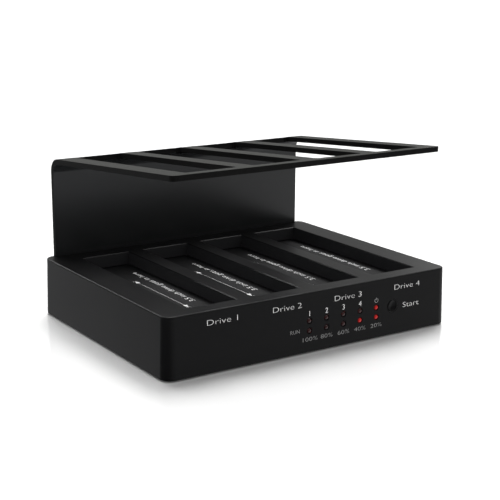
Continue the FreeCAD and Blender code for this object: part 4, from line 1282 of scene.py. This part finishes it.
@dataclass
class FrontPanel:
    """Lights, button and printed labels of the front panel.

    Args:
        housing: The housing whose front it is.
        bay_labels: X of the middle of each bay's label.
        bay_label_z: Height of the middle of those labels.
        light_x_mm: X of the first column of lights.
        light_pitch_mm: Distance from one column to the next.
        columns: Number of columns.
        rows_z: Height of each row of lights.
        lit: Column and row of each lit light, from 0 at the left and the top.
        light_radius_mm: Radius of a light.
        light_proud_mm: How far its tip stands out of the face.
        dome_mm: Height of its dome.
        dome_steps: Flats from the dome's rim to its tip.
        light_flats: Flats round a light.
        light_smooth_deg: Angle up to which the flats of a light look like one curve.
        share_z: Height of the middle of the percentages under the lights.
        number_z: Height of the power symbol's middle and of the numbers beside it.
        number_drop_mm: Baseline of those numbers below that height.
        run_place: X and height of the middle of the baseline of "RUN".
        start_x: X of the middle of "Start".
        start_drop_mm: Its baseline below the button's middle.
        button_z: Height of the button's middle.
        button_radius_mm: Radius of its cap.
        button_dish_mm: Depth of its dish.
        button_edge_mm: Width of its rounded edge.
        button_break_mm: Width of the outer of the two flats in that edge.
        button_stem_mm: Radius of its stem.
        button_flange_mm: Thickness of its flange.
        flange_sink_mm: Front of the flange behind the top edge of the panel.
        button_flats: Flats round the button.
        button_smooth_deg: Angle up to which its flats look like one curve.
        dish_steps: Flats from the dish's rim to its middle.
        bay_lettering: Size and weight of the bays' labels.
        bay_width_mm: Their length.
        share_lettering: Size and weight of the percentages.
        share_width_mm: Their length, as a length per character and what is added once.
        number_lettering: Size and weight of the numbers above the lights.
        run_lettering: Size and weight of "RUN".
        run_width_mm: Its length.
        start_lettering: Size and weight of "Start".
        start_width_mm: Its length.
        symbol_radius_mm: Radius of the power symbol's ring.
        symbol_arc_deg: Start and end of the ring.
        symbol_bar_mm: Start and end of its upright bar.
        symbol_line_mm: Width of its lines.
    """

    housing: Housing
    bay_labels: tuple[float, ...] = (-52.0, -17.0, 18.7, 55.4)
    bay_label_z: float = 24.4
    light_x_mm: float = -4.2
    light_pitch_mm: float = 10.08
    columns: int = 5
    rows_z: tuple[float, float] = (16.0, 11.2)
    lit: tuple[tuple[int, int], ...] = ((3, 1), (4, 0), (4, 1))
    light_radius_mm: float = 1.5
    light_proud_mm: float = 0.3
    dome_mm: float = 1.4
    dome_steps: int = 8
    light_flats: int = 32
    light_smooth_deg: float = 60.0
    share_z: float = 7.1
    number_z: float = 19.5
    number_drop_mm: float = 1.2
    run_place: tuple[float, float] = (-12.6, 10.9)
    start_x: float = 58.0
    start_drop_mm: float = 1.8
    button_z: float = 15.2
    button_radius_mm: float = 3.1
    button_dish_mm: float = 0.9
    button_edge_mm: float = 0.35
    button_break_mm: float = 0.1
    button_stem_mm: float = 1.1
    button_flange_mm: float = 0.7
    flange_sink_mm: float = 2.25
    button_flats: int = 48
    button_smooth_deg: float = 50.0
    dish_steps: int = 8
    bay_lettering: Lettering = Lettering(2.6, -0.08)
    bay_width_mm: float = 16.2
    share_lettering: Lettering = Lettering(2.0, -0.05)
    share_width_mm: tuple[float, float] = (1.6, 2.1)
    number_lettering: Lettering = Lettering(2.5, -0.025)
    run_lettering: Lettering = Lettering(1.8, -0.05)
    run_width_mm: float = 5.2
    start_lettering: Lettering = Lettering(2.6, -0.06)
    start_width_mm: float = 10.3
    symbol_radius_mm: float = 1.0
    symbol_arc_deg: tuple[float, float] = (125, 415)
    symbol_bar_mm: tuple[float, float] = (0.2, 1.45)
    symbol_line_mm: float = 0.25

    def build(self) -> None:
        """Build the lights, the button and the print."""
        self.lights(True)
        self.lights(False)
        self.button()
        dress(node("button_switch"), SOCKET_NYLON)
        self.labels()

    def column_x(self, column: int) -> float:
        """X of a column of lights, in millimetres."""
        return self.light_x_mm + column * self.light_pitch_mm

    def lights(self, lit: bool) -> None:
        """Cast the lights of one state, with domed lenses and straight bodies.

        Args:
            lit: Whether to cast the lit ones.
        """
        cad_node = "lights_lit" if lit else "lights_dark"
        back_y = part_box(cad_node)[1].y
        radius = self.light_radius_mm * MM
        form = Form()
        for column in range(self.columns):
            for row, z_mm in enumerate(self.rows_z):
                if ((column, row) in self.lit) != lit:
                    continue
                face = self.housing.front_place(self.column_x(column), z_mm).translation
                tip_y = face.y - self.light_proud_mm * MM
                place = axes(Vector((face.x, tip_y, face.z)), Vector((1, 0, 0)), Vector((0, 0, 1)))
                depth = back_y - tip_y
                profile = [(0, -depth), (radius, -depth)]
                for step in range(self.dome_steps + 1):
                    angle = math.pi / 2 * step / self.dome_steps
                    height = self.dome_mm * MM * (math.sin(angle) - 1)
                    profile.append((radius * math.cos(angle), height))
                form.lathe(profile, place, self.light_flats)
        finish = LIT_RESIN if lit else DARK_RESIN
        settle(form.finish(cad_node + "_lenses", self.light_smooth_deg), "base", finish, (cad_node,))

    def button(self) -> None:
        """Turn the dished button with its flange and stem."""
        low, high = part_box("start_button")
        centre = middle("start_button")
        radius = self.button_radius_mm * MM
        stem = self.button_stem_mm * MM
        edge = self.button_edge_mm * MM
        brink = self.button_break_mm * MM
        flange = high.x - centre.x
        seat = low.y + self.housing.depth_mm * MM / 2 - self.flange_sink_mm * MM
        back = seat - self.button_flange_mm * MM
        end = low.y - high.y
        profile = [(0, end), (stem, end), (stem, back), (flange, back), (flange, seat), (radius, seat),
                   (radius, -edge), (radius - brink, -brink), (radius - edge, 0)]
        for step in range(1, self.dish_steps + 1):
            share = 1 - step / self.dish_steps
            profile.append(((radius - edge) * share, -self.button_dish_mm * MM * (1 - share ** 2)))
        place = axes(Vector((centre.x, low.y, centre.z)), Vector((1, 0, 0)), Vector((0, 0, 1)))
        form = Form()
        form.lathe(profile, place, self.button_flats)
        settle(form.finish("start_button_dished", self.button_smooth_deg), "start_button", BUTTON_ABS,
               ("start_button",))

    def labels(self) -> None:
        """Print plain numbers, words and the standard power symbol on the front face."""
        printer, small = Printer(), Printer()
        front_place = self.housing.front_place
        bay_baseline = self.bay_label_z - self.bay_lettering.cap_mm / 2
        for index, x in enumerate(self.bay_labels):
            printer.label("Drive %d" % (index + 1), self.bay_lettering, front_place(x, bay_baseline),
                          self.bay_width_mm)
        share_baseline = self.share_z - self.share_lettering.cap_mm / 2
        per_character, once = self.share_width_mm
        for column in range(self.columns):
            x = self.column_x(column)
            share = "%d%%" % (100 // self.columns * (self.columns - column))
            small.label(share, self.share_lettering, front_place(x, share_baseline),
                        per_character * len(share) + once)
            if column < self.columns - 1:
                printer.label("%d" % (column + 1), self.number_lettering,
                              front_place(x, self.number_z - self.number_drop_mm))
        power = front_place(self.column_x(self.columns - 1), self.number_z)
        small.arc(self.symbol_radius_mm, *self.symbol_arc_deg, self.symbol_line_mm, power)
        foot, head = self.symbol_bar_mm
        small.bar((0, foot), (0, head), self.symbol_line_mm, power)
        small.label("RUN", self.run_lettering, front_place(*self.run_place), self.run_width_mm)
        printer.label("Start", self.start_lettering,
                      front_place(self.start_x, self.button_z - self.start_drop_mm), self.start_width_mm)
        settle(printer.form.finish("front_print"), "base", WHITE_INK)
        settle(small.form.finish("front_small_print"), "base", GREY_INK)


@dataclass
class RearPorts:
    """Power inlet, flat data socket and rocker switch of the rear wall.

    Args:
        pin_radius_mm: Radius of the inlet's centre pin.
        pin_root_mm: Depth of the pin's root behind the inlet's mouth.
        pin_sink_mm: Depth of its tip, likewise.
        pin_tip: Outline of its rounded tip, by the share of the radius and the distance
            from the tip.
        pin_flats: Flats round the pin.
        contact_count: Contacts of the data socket.
        contact_pitch_mm: Distance from one to the next.
        contact_mm: Width and thickness of a contact.
        contact_ends_mm: How far a contact stays off both ends of the socket.
        tongue_mm: Lower face of the contacts above the socket's middle.
        rocker_half_mm: Length of each of the rocker's two wings.
        rocker_rise_mm: Height of the rocker's middle above its axis.
        rocker_tilt_deg: Tilt at rest, which is also the slope of the wings.
        rocker_edge_mm: Width of its broken edges.
        mark_reach_mm: Distance of the marks from the rocker's middle.
        mark_mm: Height of the marks.
        ring_line_mm: Stroke of the ring that stands for off.
        bar_line_mm: Stroke of the line that stands for on.
    """

    pin_radius_mm: float = 1.1
    pin_root_mm: float = 10.0
    pin_sink_mm: float = 0.9
    pin_tip: tuple[tuple[float, float], ...] = ((1.0, 0.5), (0.8, 0.15), (0.45, 0.0))
    pin_flats: int = 28
    contact_count: int = 9
    contact_pitch_mm: float = 1.0
    contact_mm: tuple[float, float] = (0.5, 0.05)
    contact_ends_mm: tuple[float, float] = (1.0, 1.2)
    tongue_mm: float = 0.33
    rocker_half_mm: float = 4.6
    rocker_rise_mm: float = 0.9
    rocker_tilt_deg: float = 9.0
    rocker_edge_mm: float = 0.25
    mark_reach_mm: float = 2.6
    mark_mm: float = 1.8
    ring_line_mm: float = 0.25
    bar_line_mm: float = 0.3

    def build(self) -> None:
        """Dress the sockets and the switch and add their contacts and marks."""
        dress(node("power_jack"), SOCKET_NYLON)
        dress(node("usb_socket"), PLATED_STEEL)
        dress(node("power_switch"), SOCKET_NYLON)
        dress(node("power_rocker"), BUTTON_ABS)
        break_edges(node("power_rocker"), self.rocker_edge_mm)
        self.jack_pin()
        self.data_contacts()
        self.rocker_marks()

    def jack_pin(self) -> None:
        """Sleeve the inlet's centre pin in bright metal with a rounded tip."""
        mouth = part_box("power_jack")[1].y
        centre = middle("power_jack")
        radius = self.pin_radius_mm * MM
        root = mouth - self.pin_root_mm * MM
        length = mouth - self.pin_sink_mm * MM - root
        place = axes(Vector((centre.x, root, centre.z)), Vector((-1, 0, 0)), Vector((0, 0, 1)))
        profile = [(0, 0), (radius, 0)]
        profile += [(radius * share, length - before * MM) for share, before in self.pin_tip]
        form = Form()
        form.lathe(profile + [(0, length)], place, self.pin_flats)
        settle(form.finish("jack_pin_sleeve"), "base", PLATED_STEEL)

    def data_contacts(self) -> None:
        """Lay gold contacts along the data socket's tongue."""
        low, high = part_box("usb_socket")
        centre = middle("usb_socket")
        width, thickness = self.contact_mm
        inner, outer = self.contact_ends_mm
        length = high.y - low.y - (inner + outer) * MM
        form = Form()
        for index in range(self.contact_count):
            x = centre.x + (index - (self.contact_count - 1) / 2) * self.contact_pitch_mm * MM
            start = Vector((x - width / 2 * MM, low.y + inner * MM, centre.z + self.tongue_mm * MM))
            form.block(start, start + Vector((width * MM, length, thickness * MM)))
        settle(form.finish("data_contacts"), "base", CONTACT_GOLD)

    def rocker_marks(self) -> None:
        """Print the line for on and the ring for off on the rocker's two wings."""
        tilt = math.radians(self.rocker_tilt_deg)
        slope = math.tan(tilt)
        tip = Vector((0, self.rocker_rise_mm + self.rocker_half_mm * slope, self.rocker_half_mm))
        turn = Matrix.Rotation(tilt, 4, "X")
        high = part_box("power_rocker")[1] / MM
        axis = Vector((middle("power_rocker").x / MM,
                       high.y - (turn @ Vector((0, tip.y, -tip.z))).y, high.z - (turn @ tip).z))
        printer = Printer()
        for side in (1, -1):
            up = Vector((0, side * slope, 1))
            origin = Vector((0, self.rocker_rise_mm + self.mark_reach_mm * slope, side * self.mark_reach_mm))
            place = Matrix.Translation(axis * MM) @ turn @ axes(origin * MM, Vector((-1, 0, 0)), up)
            if side > 0:
                printer.arc(self.mark_mm / 2, 0, 360, self.ring_line_mm, place)
            else:
                printer.bar((0, -self.mark_mm / 2), (0, self.mark_mm / 2), self.bar_line_mm, place)
        settle(printer.form.finish("rocker_print"), "power_rocker", WHITE_INK)


@dataclass
class Boards:
    """Main board, upright board and what they carry."""

    def build(self) -> None:
        """Dress the boards and their parts."""
        finishes = {"main_board": BOARD_MASK, "led_board": BOARD_MASK, "board_link": SOCKET_NYLON,
                    "controller_chips": CHIP_EPOXY, "power_coils": CHIP_EPOXY, "capacitors": CAN_ALUMINIUM}
        for name, finish in finishes.items():
            dress(node(name), finish)


# --- Studio -----------------------------------------------------------------
@dataclass
class Surroundings:
    """Graded light all round: a floor that darkens to the left, dark olive walls, a pale ceiling.

    Each grade is a list of stops, and each stop is a place on the grade with an sRGB hex
    colour. Only the light is graded: behind the object the surroundings look plain white.

    Args:
        full_glow: Strength of white.
        dark_azimuth_deg: Direction of the floor's dark side, clockwise from straight ahead.
        below: Floor's colour by the cosine of the angle from its dark side, mapped from -1..1
            to 0..1.
        above: Colour of the walls and the ceiling by the sine of the elevation.
        horizon: Heights between which the lower grade passes into the upper one.
    """

    full_glow: float = 1.3
    dark_azimuth_deg: float = -100.0
    below: tuple[tuple[float, str], ...] = (
        (0.22, "ffffff"), (0.38, "dfe1e4"), (0.54, "e1e1e2"), (0.82, "595a5b"))
    above: tuple[tuple[float, str], ...] = (
        (0.0, "0c0c08"), (0.06, "44453a"), (0.25, "a3a3a2"), (0.7, "bcbcbc"))
    horizon: tuple[float, float] = (-0.12, 0.0)

    def build(self) -> None:
        """Build the world from the two grades."""
        world = bpy.data.worlds.new("graded_surroundings")
        world.use_nodes = True
        outward = add_node(world, "ShaderNodeTexCoord").outputs["Generated"]
        azimuth = math.radians(self.dark_azimuth_deg)
        toward = add_node(world, "ShaderNodeVectorMath", {"0": outward}, operation="DOT_PRODUCT",
                          in_1=(math.sin(azimuth), math.cos(azimuth), 0))
        share = add_node(world, "ShaderNodeMapRange", {"Value": toward.outputs["Value"]}, in_From_Min=-1.0)
        height = add_node(world, "ShaderNodeSeparateXYZ", {"Vector": outward}).outputs["Z"]
        colours = []
        for place, stops in ((share.outputs["Result"], self.below), (height, self.above)):
            grade = add_node(world, "ShaderNodeValToRGB", {"Fac": place})
            elements = grade.color_ramp.elements
            while len(elements) < len(stops):
                elements.new(0.5)
            for element, (position, colour) in zip(elements, stops):
                element.position = position
                element.color = linear(colour)
            colours.append(grade.outputs["Color"])
        start, end = self.horizon
        rise = add_node(world, "ShaderNodeMapRange", {"Value": height}, in_From_Min=start, in_From_Max=end)
        background = world.node_tree.nodes["Background"]
        background.inputs["Strength"].default_value = self.full_glow
        graded = add_node(world, "ShaderNodeMix",
                          {"0": rise.outputs["Result"], "6": colours[0], "7": colours[1]}, data_type="RGBA")
        seen = add_node(world, "ShaderNodeLightPath").outputs["Is Camera Ray"]
        add_node(world, "ShaderNodeMix", {"0": seen, "6": graded.outputs[2]},
                 {"2": background.inputs["Color"]}, data_type="RGBA", in_7=linear("ffffff"))
        bpy.context.scene.world = world


@dataclass
class Camera:
    """The camera, by where it stands and which way it looks.

    Args:
        eye_mm: Where it stands.
        azimuth_deg: How far it looks to the right of straight ahead.
        elevation_deg: How far it looks down.
        roll_deg: How far it leans.
        lens_mm: Focal length on the sensor below.
        sensor_mm: Width of the sensor.
        reach: Nearest and farthest distance that it shows.
    """

    eye_mm: tuple[float, float, float] = (-325.9, -495.05, 185.4)
    azimuth_deg: float = 33.70
    elevation_deg: float = 14.13
    roll_deg: float = 0.38
    lens_mm: float = 86.36
    sensor_mm: float = 36.0
    reach: tuple[float, float] = (0.01, 100.0)

    def build(self) -> None:
        """Stand the camera and make it the scene's."""
        data = bpy.data.cameras.new("camera")
        data.lens = self.lens_mm
        data.sensor_width = self.sensor_mm
        data.clip_start, data.clip_end = self.reach
        camera = bpy.data.objects.new("camera", data)
        turned = (Matrix.Rotation(-math.radians(self.azimuth_deg), 4, "Z")
                  @ Matrix.Rotation(math.radians(90 - self.elevation_deg), 4, "X")
                  @ Matrix.Rotation(math.radians(self.roll_deg), 4, "Z"))
        camera.matrix_world = Matrix.Translation(Vector(self.eye_mm) * MM) @ turned
        bpy.context.scene.collection.objects.link(camera)
        bpy.context.scene.camera = camera


def direction(azimuth_deg: float, elevation_deg: float) -> Vector:
    """Turn two angles into a direction.

    Args:
        azimuth_deg: How far it points to the right of straight ahead.
        elevation_deg: How far it points above the horizon.

    Returns:
        Its unit vector.
    """
    azimuth, elevation = math.radians(azimuth_deg), math.radians(elevation_deg)
    flat = math.cos(elevation)
    return Vector((math.sin(azimuth) * flat, math.cos(azimuth) * flat, math.sin(elevation)))


class LampKind(Enum):
    """The two kinds of lamp, by their type in the scene."""

    SOFTBOX = "AREA"
    EVEN = "SUN"


@dataclass
class Lamp:
    """A lamp that hangs in one direction from the object and points at it.

    Args:
        name: Its name.
        kind: A softbox, or light that is even all over the floor.
        azimuth_deg: Its direction, clockwise from straight ahead.
        elevation_deg: Its direction above the horizon.
        strength: Power of a softbox in watts, or strength of the even light.
        distance: How far off a softbox hangs.
        face: Width and height of a softbox.
        spread_deg: Width of the even light as seen from the object.
        gloss_only: Whether it only makes highlights.
    """

    name: str
    kind: LampKind
    azimuth_deg: float
    elevation_deg: float
    strength: float
    distance: float = 1.0
    face: tuple[float, float] = (1.0, 1.0)
    spread_deg: float = 0.0
    gloss_only: bool = False

    def build(self) -> None:
        """Hang the lamp."""
        data = bpy.data.lights.new(self.name, self.kind.value)
        data.energy = self.strength
        if self.kind is LampKind.EVEN:
            data.angle = math.radians(self.spread_deg)
        else:
            data.shape = "RECTANGLE"
            data.size, data.size_y = self.face
        toward = direction(self.azimuth_deg, self.elevation_deg)
        lamp = bpy.data.objects.new(self.name, data)
        lamp.visible_diffuse = not self.gloss_only
        lamp.location = toward * self.distance
        lamp.rotation_euler = toward.to_track_quat("Z", "Y").to_euler()
        bpy.context.scene.collection.objects.link(lamp)


@dataclass
class Studio:
    """Pale floor, lamps and surroundings.

    Args:
        floor_radius: Radius of the floor.
        floor_thickness: Its thickness.
        floor_flats: Flats round it.
        lamps: An even light overhead for the white floor and its soft shadow, two small
            softboxes that draw thin highlights along the left and the front edges, and a
            weak one that brightens the right end of the top.
    """

    floor_radius: float = 12.0
    floor_thickness: float = 0.02
    floor_flats: int = 96
    lamps: tuple[Lamp, ...] = (
        Lamp("even_light", LampKind.EVEN, 32.0, 62.0, 4.6, spread_deg=40.0),
        Lamp("left_edge_box", LampKind.SOFTBOX, -16.0, 31.0, 10.0, 2.0, (0.35, 0.35), gloss_only=True),
        Lamp("front_edge_box", LampKind.SOFTBOX, 112.0, 52.0, 11.5, 2.0, (0.35, 0.35), gloss_only=True),
        Lamp("right_box", LampKind.SOFTBOX, 62.0, 18.0, 0.2, 0.7, (0.3, 0.3), gloss_only=True),
    )

    def build(self) -> None:
        """Set the floor, the light and the camera."""
        bpy.context.scene.view_settings.view_transform = "Standard"
        self.floor()
        for lamp in self.lamps:
            lamp.build()
        Surroundings().build()
        Camera().build()

    def floor(self) -> None:
        """Lay a wide round floor."""
        form = Form()
        form.lathe([(0, -self.floor_thickness), (self.floor_radius, -self.floor_thickness),
                    (self.floor_radius, 0), (0, 0)], Matrix.Identity(4), self.floor_flats)
        plate = form.finish("studio_floor")
        dress(plate, FLOOR_SHEET)
        plate.visible_glossy = False


def main() -> None:
    """Build every sub-assembly in order and note the sizes."""
    logging.basicConfig(level=logging.INFO, format="%(name)s: %(message)s")
    housing = Housing()
    for part in (housing, Rack(), Bays(housing), FrontPanel(housing), RearPorts(), Boards(), Fasteners(),
                 Studio()):
        LOG.info("building %s", type(part).__name__)
        part.build()


if __name__ == "__main__":
    main()
